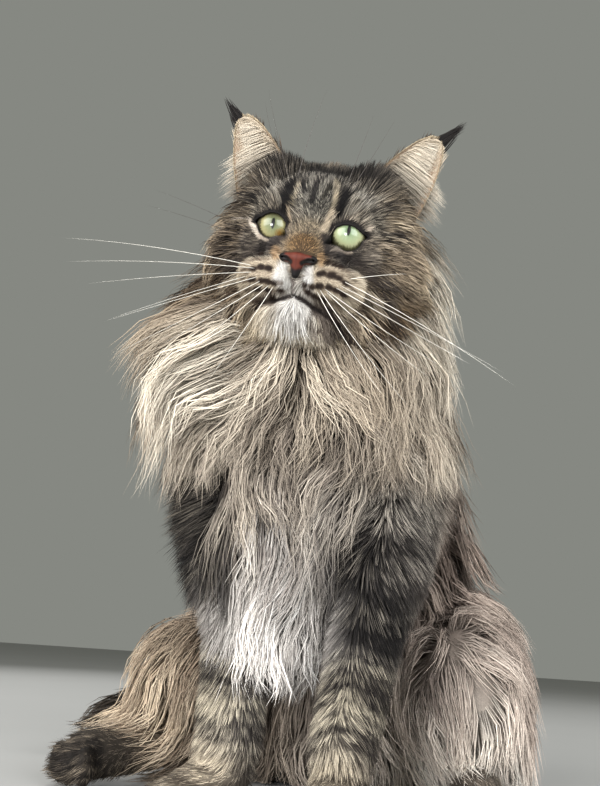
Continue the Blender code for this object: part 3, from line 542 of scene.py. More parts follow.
# Stripes and spots of the face, seen from the front: both ends across and up, half width, colour and strength
PALE = (184, 178, 165)
FACE_MARKS = [
    ((-8, 47), (12, 46), 5.0, BLACK, 0.60),
    ((20, 50), (30, 46), 5.0, (26, 24, 23), 0.60),
    ((-12.2, 30.5), (-13.8, 19.5), 1.4, (208, 192, 164), 0.52),
    ((-14.4, 18.5), (-16.6, 11.0), 1.4, (176, 158, 122), 0.60),
    ((-16.0, 10.5), (-14.6, 1.0), 1.7, (206, 184, 154), 0.80),
    ((-33.2, 35.3), (-29.6, 26.3), 2.4, PALE, 0.36),
    ((-29.6, 26.3), (-21.8, 15.4), 2.0, PALE, 0.40),
    ((11.0, 34.1), (13.1, 24.1), 2.0, (204, 188, 160), 0.55),
    ((13.1, 24.1), (12.6, 14.8), 1.9, (186, 170, 142), 0.65),
    ((11.8, 13.5), (9.1, -0.3), 2.2, (212, 194, 168), 0.80),
    ((29.2, 38.1), (19.4, 15.0), 1.6, PALE, 0.36),
    ((40.8, 33.2), (24.6, 16.2), 1.5, PALE, 0.34),
    ((35.9, 24.2), (17.7, 11.6), 1.3, PALE, 0.36),
    ((-17.8, 29.0), (-18.9, 12.0), 3.8, BLACK, 1.0),
    ((18.3, 28.0), (16.4, 13.0), 2.9, BLACK, 1.0),
    ((-9.6, 31.2), (-6.6, 22.9), 1.2, BLACK, 0.70),
    ((-0.4, 31.0), (-1.2, 17.8), 1.8, BLACK, 0.70),
    ((8.1, 30.3), (5.3, 21.6), 1.4, (36, 33, 26), 0.65),
    ((-6.0, 41.1), (-4.0, 29.0), 1.6, PALE, 0.36),
    ((7.7, 40.7), (3.3, 29.0), 1.8, PALE, 0.36),
    ((-6.2, 22.5), (-5.6, 19.0), 1.5, PALE, 0.40),
    ((-45.0, 7.0), (-38.0, -1.5), 1.3, (226, 212, 196), 0.85),
    ((-38.0, -1.5), (-32.5, -8.0), 1.5, (232, 218, 202), 0.95),
    ((-32.5, -8.0), (-24.5, -10.8), 1.3, (226, 209, 190), 0.90),
    ((37.5, 7.5), (34.0, -2.0), 1.2, (222, 206, 186), 0.80),
    ((34.0, -3.0), (28.5, -10.0), 1.2, (232, 214, 192), 0.85),
    ((28.5, -10.5), (19.0, -13.4), 1.2, (238, 214, 192), 0.85),
    ((-18.0, -12.5), (-31.0, -16.0), 4.0, (36, 32, 32), 0.60),
    ((11.5, -5.0), (15.0, -15.0), 2.4, (34, 30, 30), 0.70),
    ((16.0, -16.0), (33.0, -14.5), 4.0, (42, 38, 37), 0.55),
    ((-17.4, -17.5), (-16.4, -23.0), 2.5, (186, 146, 104), 0.55),
    ((12.3, -18.5), (12.8, -24.0), 2.3, (190, 150, 106), 0.60),
    ((-10.0, -29), (-11.5, -37.5), 3.8, WHITE, 0.80),
    ((6.0, -29), (7.5, -36.5), 3.4, WHITE, 0.80),
    ((-7.0, -34), (-6.5, -40), 2.4, (232, 228, 222), 0.60),
    ((-16.7, -33.0), (-24.0, -32.4), 1.0, ROW, 0.54),
    ((-24.0, -32.4), (-37.0, -33.8), 0.9, ROW, 0.50),
    ((-9.0, -39.5), (-21.6, -40.6), 1.0, ROW, 0.54),
    ((-21.6, -40.6), (-38.0, -40.4), 0.9, ROW, 0.50),
    ((-8.0, -43.8), (-17.6, -44.9), 1.1, ROW, 0.50),
    ((-17.6, -44.9), (-36.0, -45.6), 0.9, ROW, 0.50),
    ((-20.0, -25.6), (-36.0, -27.0), 0.8, ROW, 0.42),
    ((15.4, -21.9), (31.0, -26.6), 0.9, ROW, 0.46),
    ((14.0, -26.4), (33.0, -30.4), 0.7, ROW, 0.34),
    ((13.0, -31.0), (25.5, -32.3), 1.1, ROW, 0.58),
    ((25.5, -32.3), (38.0, -37.0), 0.9, ROW, 0.50),
    ((8.5, -39.0), (22.9, -39.2), 1.1, ROW, 0.58),
    ((22.9, -39.2), (37.0, -42.0), 0.9, ROW, 0.50),
    ((5.4, -41.5), (14.5, -44.8), 1.2, ROW, 0.58),
    ((14.5, -44.8), (29.0, -47.4), 1.1, ROW, 0.54),
    # Along the mouth: dark lips, with painted shade in the crease under the whisker pads
    ((-4.0, -47.0), (-15.0, -50.0), 1.9, (66, 56, 50), 0.62),
    ((-15.0, -50.0), (-27.5, -52.5), 3.4, (60, 49, 42), 0.76),
    ((2.0, -46.0), (13.0, -50.5), 2.0, (60, 52, 47), 0.66),
    ((13.0, -50.5), (28.5, -54.5), 3.4, (54, 45, 40), 0.78),
    ((-2.2, -35.5), (-2.1, -41.5), 0.6, (62, 50, 47), 0.75),
    ((-2.1, -41.5), (-2.0, -45.0), 1.3, (96, 88, 84), 0.60),
    ((31.5, -22.0), (38.0, -29.5), 1.8, PAD_EDGE, 0.42),
    ((38.0, -29.5), (38.5, -38.0), 1.8, PAD_EDGE, 0.42),
    ((38.5, -38.0), (33.0, -46.0), 1.8, PAD_EDGE, 0.42),
    ((-33.0, -24.5), (-39.5, -31.0), 1.8, PAD_EDGE, 0.42),
    ((-39.5, -31.0), (-40.0, -39.0), 1.8, PAD_EDGE, 0.42),
    ((-40.0, -39.0), (-35.0, -47.0), 1.8, PAD_EDGE, 0.50),
    ((33.0, -15.5), (43.0, -23.0), 3.4, (52, 46, 43), 0.60),
    ((43.0, -23.0), (45.0, -36.0), 3.0, (52, 46, 43), 0.60),
    ((45.0, -36.0), (38.0, -50.0), 3.0, (60, 51, 45), 0.55),
    ((-36.0, -18.5), (-45.5, -26.0), 3.2, (56, 49, 45), 0.60),
    ((-45.5, -26.0), (-46.0, -40.0), 3.0, (56, 49, 45), 0.55),
    ((-13.0, -9.0), (-20.0, -16.0), 2.0, (44, 38, 36), 0.60),
    ((-27.0, -19.0), (-29.1, -19.2), 1.9, SPOT, 0.95),
    ((-23.0, -31.6), (-24.5, -31.4), 2.0, SPOT, 1.00),
    ((-17.7, -32.1), (-19.4, -31.7), 2.0, SPOT, 1.00),
    ((-27.6, -33.3), (-29.3, -33.1), 1.7, SPOT, 0.95),
    ((-26.8, -39.4), (-29.8, -39.6), 1.4, SPOT, 0.95),
    ((-21.0, -39.8), (-22.7, -39.7), 1.5, SPOT, 0.95),
    ((-17.1, -40.1), (-18.4, -39.7), 1.7, SPOT, 0.95),
    ((-13.2, -40.7), (-14.5, -40.3), 1.4, SPOT, 0.95),
    ((-23.5, -44.6), (-26.1, -44.8), 1.4, SPOT, 0.95),
    ((-16.3, -44.9), (-18.3, -44.7), 1.5, SPOT, 0.95),
    ((-9.0, -44.3), (-10.6, -44.1), 1.3, SPOT, 0.95),
    ((-12.8, -48.1), (-14.8, -47.9), 1.4, SPOT, 0.95),
    ((15.2, -22.5), (16.0, -22.7), 2.0, SPOT, 0.95),
    ((19.6, -22.9), (20.5, -23.1), 1.4, SPOT, 0.95),
    ((23.1, -23.1), (24.8, -23.3), 1.5, SPOT, 0.95),
    ((13.7, -31.2), (15.7, -30.2), 2.0, SPOT, 1.00),
    ((20.0, -30.8), (21.8, -30.6), 2.4, SPOT, 1.00),
    ((25.1, -31.6), (26.6, -31.9), 1.7, SPOT, 0.95),
    ((29.3, -33.7), (30.8, -34.2), 1.7, SPOT, 0.95),
    ((9.9, -39.6), (10.8, -39.8), 1.4, SPOT, 0.95),
    ((14.1, -38.7), (15.6, -38.4), 2.0, SPOT, 1.00),
    ((20.0, -38.1), (21.6, -38.5), 1.7, SPOT, 0.95),
    ((24.4, -39.2), (26.0, -39.6), 1.5, SPOT, 0.95),
    ((28.7, -40.5), (30.4, -41.2), 1.5, SPOT, 0.95),
    ((5.1, -38.7), (6.0, -38.9), 1.4, SPOT, 0.95),
    ((7.5, -42.6), (8.4, -42.8), 1.7, SPOT, 0.95),
    ((11.4, -44.3), (12.7, -44.7), 1.7, SPOT, 0.95),
    ((16.3, -45.6), (18.3, -45.9), 2.0, SPOT, 0.95),
    # Corners of the mouth and the lower lip: dark lips, with painted shade in the crease
    ((20.5, -50.5), (27.0, -54.5), 2.6, (44, 37, 35), 0.85),
    ((-20.0, -50.0), (-27.0, -52.0), 2.0, (60, 48, 42), 0.70),
    ((13.0, -54.0), (20.0, -58.0), 2.4, (58, 50, 46), 0.70),
]
# Shades of the body in the cat's frame, without a length
BODY_SHADES = [
    ((-90, -180, 390), 34, (150, 127, 99), (48, 37, 29), 0.26),
    ((-100, -190, 340), 26, (174, 153, 125), (62, 50, 40), 0.34),
    ((-115, -175, 335), 26, (196, 176, 148), (84, 69, 56), 0.46),
    ((-120, -170, 285), 32, (240, 228, 210), (152, 136, 122), 0.82),
    ((-50, -215, 300), 30, (255, 246, 228), (146, 130, 115), 0.84),
    ((-5, -215, 240), 24, (176, 161, 143), (38, 33, 30), 0.24),
    ((-45, -205, 225), 26, (232, 219, 200), (98, 87, 78), 0.62),
    ((30, -215, 290), 20, (230, 212, 184), (94, 79, 64), 0.56),
    ((60, -205, 300), 26, (192, 177, 156), (70, 60, 51), 0.41),
    ((55, -195, 240), 26, (216, 203, 185), (92, 80, 72), 0.56),
    ((100, -140, 360), 36, (255, 246, 228), (206, 190, 170), 0.94),
    ((105, -130, 270), 32, (240, 227, 206), (142, 125, 110), 0.76),
    ((0, -40, 360), 60, (164, 150, 130), (50, 43, 37), 0.42),
    ((-14, -205, 188), 21, (255, 251, 246), (150, 140, 133), 0.76),
    ((-12, -190, 125), 38, (255, 254, 252), (255, 248, 241), 1.00),
    ((-60, -185, 180), 22, (140, 131, 119), (28, 26, 25), 0.24),
    ((55, -150, 190), 30, (196, 187, 174), (36, 33, 32), 0.46),
    ((36, -180, 160), 22, (172, 163, 150), (26, 24, 24), 0.32),
    ((52, -178, 122), 24, (150, 142, 130), (24, 22, 22), 0.24),
    ((-72, -140, 190), 40, (132, 124, 112), (20, 18, 18), 0.18),
    ((42, -180, 75), 28, (206, 195, 172), (38, 34, 32), 0.36),
    ((-42, -180, 75), 30, (218, 206, 182), (40, 36, 34), 0.38),
    ((38, -215, 15), 24, (232, 216, 190), (78, 69, 60), 0.60),
    ((-50, -215, 15), 24, (232, 216, 190), (78, 69, 60), 0.60),
    ((0, 40, 180), 70, (132, 119, 106), (36, 33, 31), 0.34),
    ((90, -40, 185), 40, (188, 170, 157), (86, 73, 66), 0.46),
    # Painted shadow in the gap between the left foreleg and the left haunch
    ((70, -100, 105), 10, (120, 104, 97), (32, 28, 28), 0.30),
    ((125, -20, 95), 70, (222, 205, 191), (138, 121, 111), 0.65),
    ((110, -50, 30), 60, (255, 248, 236), (224, 206, 190), 0.96),
    ((-150, -60, 85), 40, (236, 217, 190), (144, 122, 102), 0.60),
    ((-110, 0, 130), 36, (196, 175, 150), (90, 76, 65), 0.52),
    ((-170, -110, 20), 26, (160, 146, 128), (42, 38, 35), 0.36),
    ((106, -110, 20), 24, (176, 160, 140), (54, 48, 43), 0.42),
    ((-100, 180, 50), 80, (132, 118, 104), (36, 32, 29), 0.36),
]


def blend(points, places, reaches, values):
    """Values between given places, by how near each point is to them."""
    total = np.full((len(points), 1), 1e-12)
    blended = np.zeros((len(points), values.shape[1]))
    for place, reach, value in zip(places, reaches, values):
        weight = 1 / (1e-3 + np.sum((points - place) ** 2, axis=1, keepdims=True) / reach**2) ** 2
        total += weight
        blended += weight * value
    return blended / total


def shades(places, rows):
    """The values of rows, blended at places."""
    values = np.array([np.hstack(row[2:]) for row in rows])
    return blend(places, np.array([row[0] for row in rows]), [row[1] for row in rows], values)


def stripe_share(points, start, end, half):
    """How much points lie in a stripe, given by the places and half width seen from the front."""
    offset = off_line(points[:, [0, 2]], np.array(start), np.array(end))[1]
    near = np.linalg.norm(offset, axis=1)
    return (1 - smoothstep(0.5 * half, 1.3 * half + 0.3, near)) * (points[:, 1] < FACE_DEPTH)


# How far back the marks of the face reach, in millimetres
FACE_DEPTH = 28
# How much lighter the side of the face is that is turned to the window
SIDE_LIGHT = 0.13
LID_EDGE = (40, 33, 31)


def face_shade(points):
    """Length of the hair, its light and dark colour and the share of light hairs, at points of the head."""
    places = points * 1000
    both = places.copy()
    both[:, 0] = np.abs(both[:, 0])
    found = shades(both, FACE_SHADES)
    length, light, dark, share = found[:, 0] / 1000, found[:, 1:4], found[:, 4:7], found[:, 7]
    share = share + SIDE_LIGHT * np.clip(places[:, 0] / 45, -1, 1) * smoothstep(22, 40, both[:, 0])
    for start, end, half, colour, strength in FACE_MARKS:
        mark = (strength * stripe_share(places, start, end, half))[:, None]
        light = light + (np.minimum(np.array(colour) * 1.12, 255) - light) * mark
        dark = dark + (np.array(colour) * 0.88 - dark) * mark
    gap = lids_gap(points)
    above = smoothstep(-0.003, 0.006, points[:, 2])
    rim = 1 - smoothstep(0.0006 + 0.0022 * above, 0.0013 + 0.0027 * above, gap)
    lips = np.min([np.linalg.norm(places - place * 1000, axis=1) for place in LIPS], axis=0)
    rim = np.maximum(rim * (points[:, 1] < EYE_DEPTH), 0.92 - 0.92 * smoothstep(1.2, 3.4, lips))[:, None]
    length = length * (0.30 + 0.70 * smoothstep(2.0, 7.0, lips))
    length = length * (0.35 + 0.65 * smoothstep(0.001, 0.007, gap))
    return length, light + (np.array(LID_EDGE) - light) * rim, dark + (np.array(BLACK) - dark) * rim, share


def head_shade(points):
    """Light and dark colour of the head's hair and the share of light hairs, in the cat's frame."""
    return face_shade(to_head(points))[1:]


def lip_places():
    """Places along the mouth."""
    line = [np.array(place) for place in on_front(face, MOUTH_LINE)]
    parts = [(first, second - first) for first, second in zip(line, line[1:])]
    return [first + way * share for first, way in parts for share in (0, 0.33, 0.67, 1)]


# Heights of the broad and the fine bars across the forelegs
BROAD_BAR = 0.030
FINE_BAR = 0.0085
TAIL_RINGS = 14


def foreleg_bars(points):
    """The share of light hairs in the bars across the forelegs."""
    across, depth, height = points.T
    elbow, wrist = (one[0] for one in FORMS["foreleg_left"][0][1:])
    share = np.clip((points[:, 2:] - wrist[2]) / (elbow[2] - wrist[2]), 0, 1)
    side = np.sign(across)
    axis = (wrist + share * (elbow - wrist)) * np.stack([side, side * 0 + 1, side * 0], 1)
    front = smoothstep(0.35, 0.95, unit((points - axis) * (1, 1, 0)) @ np.array((-0.25, -0.97, 0)))
    wobble = 0.9 * np.sin(across * 130) + 0.7 * np.sin(across * 61 + 1.0) + 0.6 * np.sin(depth * 97)
    broad = np.sin(height * 2 * math.pi / BROAD_BAR + wobble)
    fine = np.sin(height * 2 * math.pi / FINE_BAR + wobble * 2)
    low = 1 - smoothstep(0.060, 0.120, height)
    return -0.14 + 0.24 * low + (0.06 + 0.48 * low) * front + 0.28 * broad + 0.24 * fine


def body_shade(points):
    """Light and dark colour of the hair and the share of light hairs, at points of the body."""
    found = shades(points * 1000, BODY_SHADES)
    light, dark, share = found[:, :3], found[:, 3:6], found[:, 6]
    foreleg = (1 - smoothstep(0.15, 0.21, points[:, 2])) * (points[:, 1] < -0.12)
    share = share + foreleg * (foreleg_bars(points) - share)
    tail = smoothstep(0.09, 0.13, points[:, 1]) * (points[:, 2] < 0.12)
    rings = 0.5 + 0.5 * np.sin(np.arctan2(points[:, 1], points[:, 0] + 0.1) * TAIL_RINGS)
    return light, dark, share + tail * (rings - 0.6) * 0.35


def blade_pattern(rings):
    """Triangles of one blade with three points a ring and one at its tip."""
    faces = [(0, 2, 1)]
    for ring in range(rings - 1):
        for side in range(3):
            beside = (side + 1) % 3
            near, far = 3 * ring, 3 * ring + 3
            faces += [(near + side, near + beside, far + beside), (near + side, far + beside, far + side)]
    last = 3 * (rings - 1)
    faces += [(last + side, last + (side + 1) % 3, last + 3) for side in range(3)]
    return np.array(faces)[:, ::-1]


# How much a hair keeps its way as it bends into the lie
STIFFNESS = 0.6
# A reach that leaves only the rise to bound how far a hair stands out
UNBOUND = 5.0
# Side of the patch that a blade has in the map for baking
PATCH = 0.003
# How much the shading of a hair is that of the body's form
SOFT_SHADE = 0.35
# Widths of a blade's rings from its root, by their count, as shares of its full width
BLADE_TAPER = {
    1: (1.0,),
    2: (1.0, 0.75),
    3: (0.9, 1.0, 0.65),
    4: (0.8, 1.0, 0.85, 0.5),
    5: (0.8, 1.0, 0.95, 0.75, 0.42),
    9: np.linspace(1.0, 0.22, 9),
}


def blade_points(paths, outward, widths, rolls, ridge=0.35):
    """Points of flat blades along paths, the last place of each being its tip."""
    rings = paths.shape[1] - 1
    ways = unit(np.gradient(paths, axis=1))[:, :rings]
    across = unit(np.cross(ways, outward[:, None]))
    up = np.cross(across, ways)
    turn = rolls[:, None, None]
    across, up = across * np.cos(turn) + up * np.sin(turn), up * np.cos(turn) - across * np.sin(turn)
    half = widths[:, None, None] / 2 * np.array(BLADE_TAPER[rings])[None, :, None]
    centres = paths[:, :rings]
    corners = np.stack([centres + across * half, centres + up * half * ridge * 2, centres - across * half], 2)
    return np.concatenate([corners.reshape(len(paths), -1, 3), paths[:, rings:]], 1)


def blade_mesh(name, points, faces):
    """One mesh of many blades, and its triangles."""
    count, each = points.shape[:2]
    triangles = (faces[None] + (np.arange(count) * each)[:, None, None]).reshape(-1, 3)
    return new_mesh(name, points.reshape(-1, 3), triangles), triangles


def dress(made, material, slot, *nodes):
    """Gives a piece its material and its body, and hides the nodes that it replaces. The slot is not used."""
    made.data.materials.append(material)
    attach(made, "root")
    if nodes:
        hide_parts(*nodes)


class Coat:
    """Blades that are gathered and then made into pieces of less than the allowed number of triangles."""

    MOST = 190000

    def __init__(self, name, slot, material, unwrap):
        self.name, self.slot, self.material, self.unwrap = name, slot, material, unwrap
        self.parts = {}

    def add(self, paths, outward, widths, roll, colours, roots):
        """Adds blades that are rolled by chance up to an angle, with a colour for each place of each path."""
        rings = paths.shape[1] - 1
        points = blade_points(paths, outward, widths, random.uniform(-roll, roll, len(paths)))
        sides = random.uniform(0.74, 1.12, (len(paths), 1, 3, 1))
        body = (colours[:, :rings, None] * sides).reshape(len(paths), -1, 3)
        tints = np.concatenate([body, colours[:, rings:]], 1)
        corners = points[:, :-1].reshape(len(paths), rings, 3, 3)
        own = unit(corners - corners.mean(2, keepdims=True)).reshape(len(paths), -1, 3)
        own = np.concatenate([own, outward[:, None]], 1)
        normals = unit(own * (1 - SOFT_SHADE) + outward[:, None] * SOFT_SHADE)
        self.parts.setdefault(rings, []).append((points, tints, roots, normals))

    def add_locks(self, found, outward, roots, shade, root, contrast, widths, roll):
        """Adds the strands of locks, from the light and dark colour, light share and tone of each."""
        strands, main, shares = found
        light, dark, share, tone = (value[main] for value in shade)
        colours = hair_colours(light, dark, share, shares, root, contrast, tone)
        self.add(strands, outward[main], random.uniform(*widths, len(main)), roll, colours, roots[main])

    def finish(self):
        """Makes the pieces, each a slanted slice of the coat."""
        batches = []
        for rings, found in self.parts.items():
            values = [np.concatenate([one[i] for one in found]) for i in range(4)]
            roots = values[2]
            order = np.argsort(roots[:, 0] + 0.2 * roots[:, 2])
            faces = blade_pattern(rings)
            count = max(1, math.ceil(len(roots) / (self.MOST // len(faces))))
            for part in np.array_split(order, count):
                batches.append([*(value[part] for value in values), faces])
        for number, batch in enumerate(batches, 1):
            self.piece(f"{self.name}_{number}" if len(batches) > 1 else self.name, *batch)

    def piece(self, name, points, tints, roots, normals, faces):
        """One mesh of blades."""
        made, triangles = blade_mesh(name, points, faces)
        set_colours(made, tints.reshape(-1, 3))
        made.data.normals_split_custom_set_from_vertices(normals.reshape(-1, 3))
        each = points.shape[1]
        place = np.arange(each)
        patch = np.stack([(place % 3) / 2 - 0.5, place / (each - 1) - 0.5], 1) * PATCH
        uv = np.clip(self.unwrap(roots), PATCH, 1 - PATCH)[:, None] + patch[None]
        layer = made.data.uv_layers.new(name="OFBake")
        layer.data.foreach_set("uv", uv.reshape(-1, 2)[triangles.ravel()].astype(np.float32).ravel())
        dress(made, self.material, self.slot)


def unwrap_round(centre, axis, zero, low, high):
    """An unwrap round an axis, with heights along it from low to high."""
    centre, axis, zero = np.array(centre), unit(np.array(axis, float)), unit(np.array(zero, float))
    side = np.cross(axis, zero)

    def unwrap(points):
        """Turn round the axis and height along it, both from 0 to 1."""
        offset = points - centre
        turn = np.arctan2(offset @ side, offset @ zero) / (2 * math.pi) + 0.5
        return np.stack([turn, (offset @ axis - low) / (high - low)], 1)

    return unwrap


def tangent(ways, normals):
    """The part of each way that lies along the surface."""
    return ways - normals * np.sum(ways * normals, axis=1, keepdims=True)


def scattered(points, triangles, weights, count):
    """Places spread over a surface by the weight of its triangles."""
    corners = points[triangles]
    areas = np.linalg.norm(np.cross(corners[:, 1] - corners[:, 0], corners[:, 2] - corners[:, 0]), axis=1)
    chance = areas * weights
    picked = random.choice(len(triangles), count, p=chance / chance.sum())
    first, second = random.random((2, count, 1))
    over = first + second > 1
    first, second = np.where(over, 1 - first, first), np.where(over, 1 - second, second)
    start, one, other = corners[picked].transpose(1, 0, 2)
    return start + (one - start) * first + (other - start) * second


def grown_paths(roots, length, reach, rise, lift, steps, sunk=0.002, droop=0.2, curve=0.8):
    """Places along hairs that leave the skin and bend into its lie.

    Each hair rises to a share, its reach, of the coat's depth, but no more than to a share, its rise, of
    its own length.
    """
    skin, tips = COAT
    normals = skin.slope(roots)
    place = roots - normals * sunk
    path = [place]
    way = unit(normals * np.reshape(lift, (-1, 1)) + tangent(lie(roots), normals))
    for number in range(1, steps + 1):
        place = place + way * (length / steps)[:, None]
        out = skin.slope(place)
        height = skin.at(place)
        depth = np.maximum(height - tips.at(place), 0.0)
        wanted = np.minimum(depth * reach, length * rise) * (number / steps) ** curve
        place = place + out * np.maximum(wanted - height, 0)[:, None]
        path.append(place)
        ways = lie(place)
        way = unit(way * STIFFNESS + tangent(ways, out) + ways * droop)
    return np.stack(path, 1), normals


def along(paths, shares):
    """Places at shares of the way along paths."""
    steps = paths.shape[1] - 1
    place = np.clip(shares * steps, 0, steps - 1e-6)
    base = place.astype(int)
    part = (place - base)[..., None]
    rows = np.arange(len(paths))[:, None]
    return paths[rows, base] * (1 - part) + paths[rows, base + 1] * part


def clusters(roots, count):
    """The nearest of the first few roots to each root."""
    tree = KDTree(count)
    for index, root in enumerate(roots[:count]):
        tree.insert(root, index)
    tree.balance()
    return np.array([tree.find(root)[1] for root in roots])


def gathered(paths, nearest, pull):
    """Draws each path towards the one it belongs to, more so towards the tips."""
    share = np.linspace(0, 1, paths.shape[1])[None, :, None]
    return paths + (paths[nearest] - paths) * pull * share**1.3


def locks(paths, normals, count, rings, radius, gather, wave, wave_length, lengths, spread):
    """Strands round the middle of each lock, which gather towards its tip and wave together."""
    total = len(paths) * count
    main = np.repeat(np.arange(len(paths)), count)
    shares = np.linspace(0, 1, rings + 1)[None] * random.uniform(*lengths, (total, 1))
    base = along(paths[main], shares)
    lengthwise = np.linalg.norm(np.diff(paths, axis=1), axis=2).sum(1)
    ways = unit(np.gradient(base, axis=1))
    across = unit(np.cross(ways, normals[main][:, None]))
    up = np.cross(across, ways)
    angle = random.uniform(0, 2 * math.pi, (total, 1, 1))
    size = radius * np.sqrt(random.random((total, 1, 1)))
    closing = 1 - gather * shares[..., None]
    offset = (across * np.cos(angle) + up * np.sin(angle) * 0.5) * size * closing
    phase = random.uniform(0, 2 * math.pi, len(paths))[main][:, None]
    turns = shares * (lengthwise / wave_length)[main][:, None] * 2 * math.pi
    swing = (wave * np.sin(turns + phase + random.normal(0, 0.5, (total, 1))) * shares)[..., None]
    stray = across * random.normal(0, spread, (total, 1, 1)) + up * random.normal(0, spread, (total, 1, 1))
    places = base + offset + across * swing + stray * (shares**1.5)[..., None]
    places[..., 2] = np.maximum(places[..., 2], FLOOR_CLEARANCE)
    return places, main, shares


def hair_colours(light, dark, share, shares, root, contrast, tone=1.0):
    """Colours along each hair, dark at its root, of a light or dark hair by chance."""
    count = len(shares)
    kind = share + (random.random(count) - 0.5) * contrast
    band = np.clip(kind[:, None] + 0.25 * (shares - 0.5), 0, 1)[..., None]
    tint = linear(dark[:, None] + (light - dark)[:, None] * band)
    shade = root + (1 - root) * smoothstep(0.0, 0.4, shares)[..., None]
    return tint * shade * random.uniform(0.90, 1.10, (count, 1, 1)) * np.reshape(tone, (-1, 1, 1))


# How much two hairs of a short-haired part may differ, and how far its tufts draw together
SHORT_CONTRAST = 0.95
TUFT_PULL = 0.45


def tufts(coat, roots, size, reach, rise, lift, shade, tuft, flecks, widths, root=0.55, rough=0.0006):
    """Short hair of one ring in small tufts, each of them lighter or darker than the next."""
    count = len(roots)
    nearest = clusters(roots, max(count // tuft, 1))
    paths, out = grown_paths(roots, size, reach, rise, lift, 1, sunk=0.0008, droop=0.0)
    paths = gathered(paths, nearest, TUFT_PULL)
    paths[:, 1:] += random.normal(0, rough, (count, 1, 3)) * 0.6
    paths[..., 2] = np.maximum(paths[..., 2], 0.0005)
    shares = np.tile((0.1, 1.0), (count, 1))
    light, dark, share = shade((paths[:, 0] + paths[:, -1]) / 2)
    share = share + flecks * (random.random(count)[nearest] - 0.5)
    tone = random.uniform(0.85, 1.15, count)[nearest]
    tints = hair_colours(light, dark, share, shares, root, SHORT_CONTRAST, tone)
    coat.add(paths, out, widths * random.uniform(0.7, 1.3, count), 0.6, tints, roots)


def feed(socket, value):
    """Links an input to another node's output, or sets it to a fixed value."""
    if isinstance(value, bpy.types.NodeSocket):
        socket.id_data.links.new(value, socket)
    else:
        socket.default_value = value


def new_material(name, roughness, specular):
    """A node material and its shader."""
    material = bpy.data.materials.new(name)
    material.use_nodes = True
    shader = material.node_tree.nodes["Principled BSDF"]
    feed(shader.inputs["Roughness"], roughness)
    feed(shader.inputs["Specular IOR Level"], specular)
    return material, shader


def node(material, kind, **values):
    """A new node of a material, with its properties set and its inputs set or linked."""
    made = material.node_tree.nodes.new(kind)
    for key, value in values.items():
        name = key.replace("_", " ")
        if name in made.inputs:
            feed(made.inputs[name], value)
        else:
            setattr(made, key, value)
    return made


def noise(material, scale, detail=2.0):
    """A noise on the object's own coordinates."""
    places = node(material, "ShaderNodeTexCoord").outputs["Object"]
    made = node(material, "ShaderNodeTexNoise", Vector=places, Scale=scale, Detail=detail, Roughness=0.5)
    return made.outputs["Fac"]


def bump(material, shader, height, strength, distance):
    """A bump of a height on a shader."""
    made = node(material, "ShaderNodeBump", Height=height, Strength=strength, Distance=distance)
    feed(shader.inputs["Normal"], made.outputs["Normal"])


def ranged(material, value, *limits):
    """A value that is carried from one range to another, given by their lower and upper ends."""
    names = ("From_Min", "From_Max", "To_Min", "To_Max")
    made = node(material, "ShaderNodeMapRange", Value=value, **dict(zip(names, limits)))
    return made.outputs["Result"]


def scaled(material, colour, factor):
    """A colour times a factor."""
    made = node(material, "ShaderNodeVectorMath", operation="SCALE", Vector=colour, Scale=factor)
    return made.outputs["Vector"]


def mixed(material, factor, first, second):
    """A colour that goes from a first to a second one with a factor."""
    made = node(material, "ShaderNodeMix", data_type="RGBA", Factor=factor, A=first, B=second)
    return made.outputs["Result"]


def solid(colour):
    """A colour given as 8-bit sRGB, as a node takes it."""
    return (*linear(colour), 1)


def mesh_colours(material):
    """The colours that the points of the mesh have."""
    return node(material, "ShaderNodeVertexColor", layer_name="Coat").outputs["Color"]


def coat_material(name, roughness, bump_strength=0.0):
    """Hair that takes its markings from the colours of the mesh, with fine variation."""
    material, shader = new_material(name, roughness, 0.14)
    fine = noise(material, 900.0, 3.0)
    spread = ranged(material, fine, 0.3, 0.7, 0.74, 1.00)
    feed(shader.inputs["Base Color"], scaled(material, mesh_colours(material), spread))
    if bump_strength:
        bump(material, shader, fine, bump_strength, 0.001)
    return material


# The skin's colours are those of the coat, darkened by these shares for the undercoat and painted shade
HEAD_SKIN_SHADE = 0.7
BODY_SKIN_SHADE = 0.45


def add_skin(face, body, skin_material):
    """One skin for all flesh, with the coat's markings and painted shade where the coat over it is long."""
    head_points, head_triangles = face.surface()
    body_points, body_triangles = body.surface()
    length, light, dark, share = face_shade(head_points)
    # Painted shade: the skin under long hair is darker, as deep in a coat
    deep = 1 - 0.45 * smoothstep(0.006, 0.02, length)[:, None]
    head_colours = linear(dark + (light - dark) * share[:, None] * 0.8) * deep * HEAD_SKIN_SHADE
    light, dark, share = body_shade(body_points)
    body_colours = linear(dark + (light - dark) * np.clip(share, 0, 1)[:, None] * 0.7) * BODY_SKIN_SHADE
    head_points = to_cat(head_points)
    points = np.concatenate([head_points, body_points])
    triangles = np.concatenate([head_triangles, body_triangles + len(head_points)])
    skin = new_mesh("skin", points, triangles)
    set_colours(skin, np.concatenate([head_colours, body_colours]))
    nodes = ["head", "neck", "chest", "torso", "thigh_left", "thigh_right", "foreleg_left", "foreleg_right"]
    nodes += ["hindfoot_left", "hindfoot_right", "tail_base", "tail_middle", "tail_tip"]
    dress(skin, skin_material, "body_fur", *nodes)
    return (head_points, head_triangles), (body_points, body_triangles)


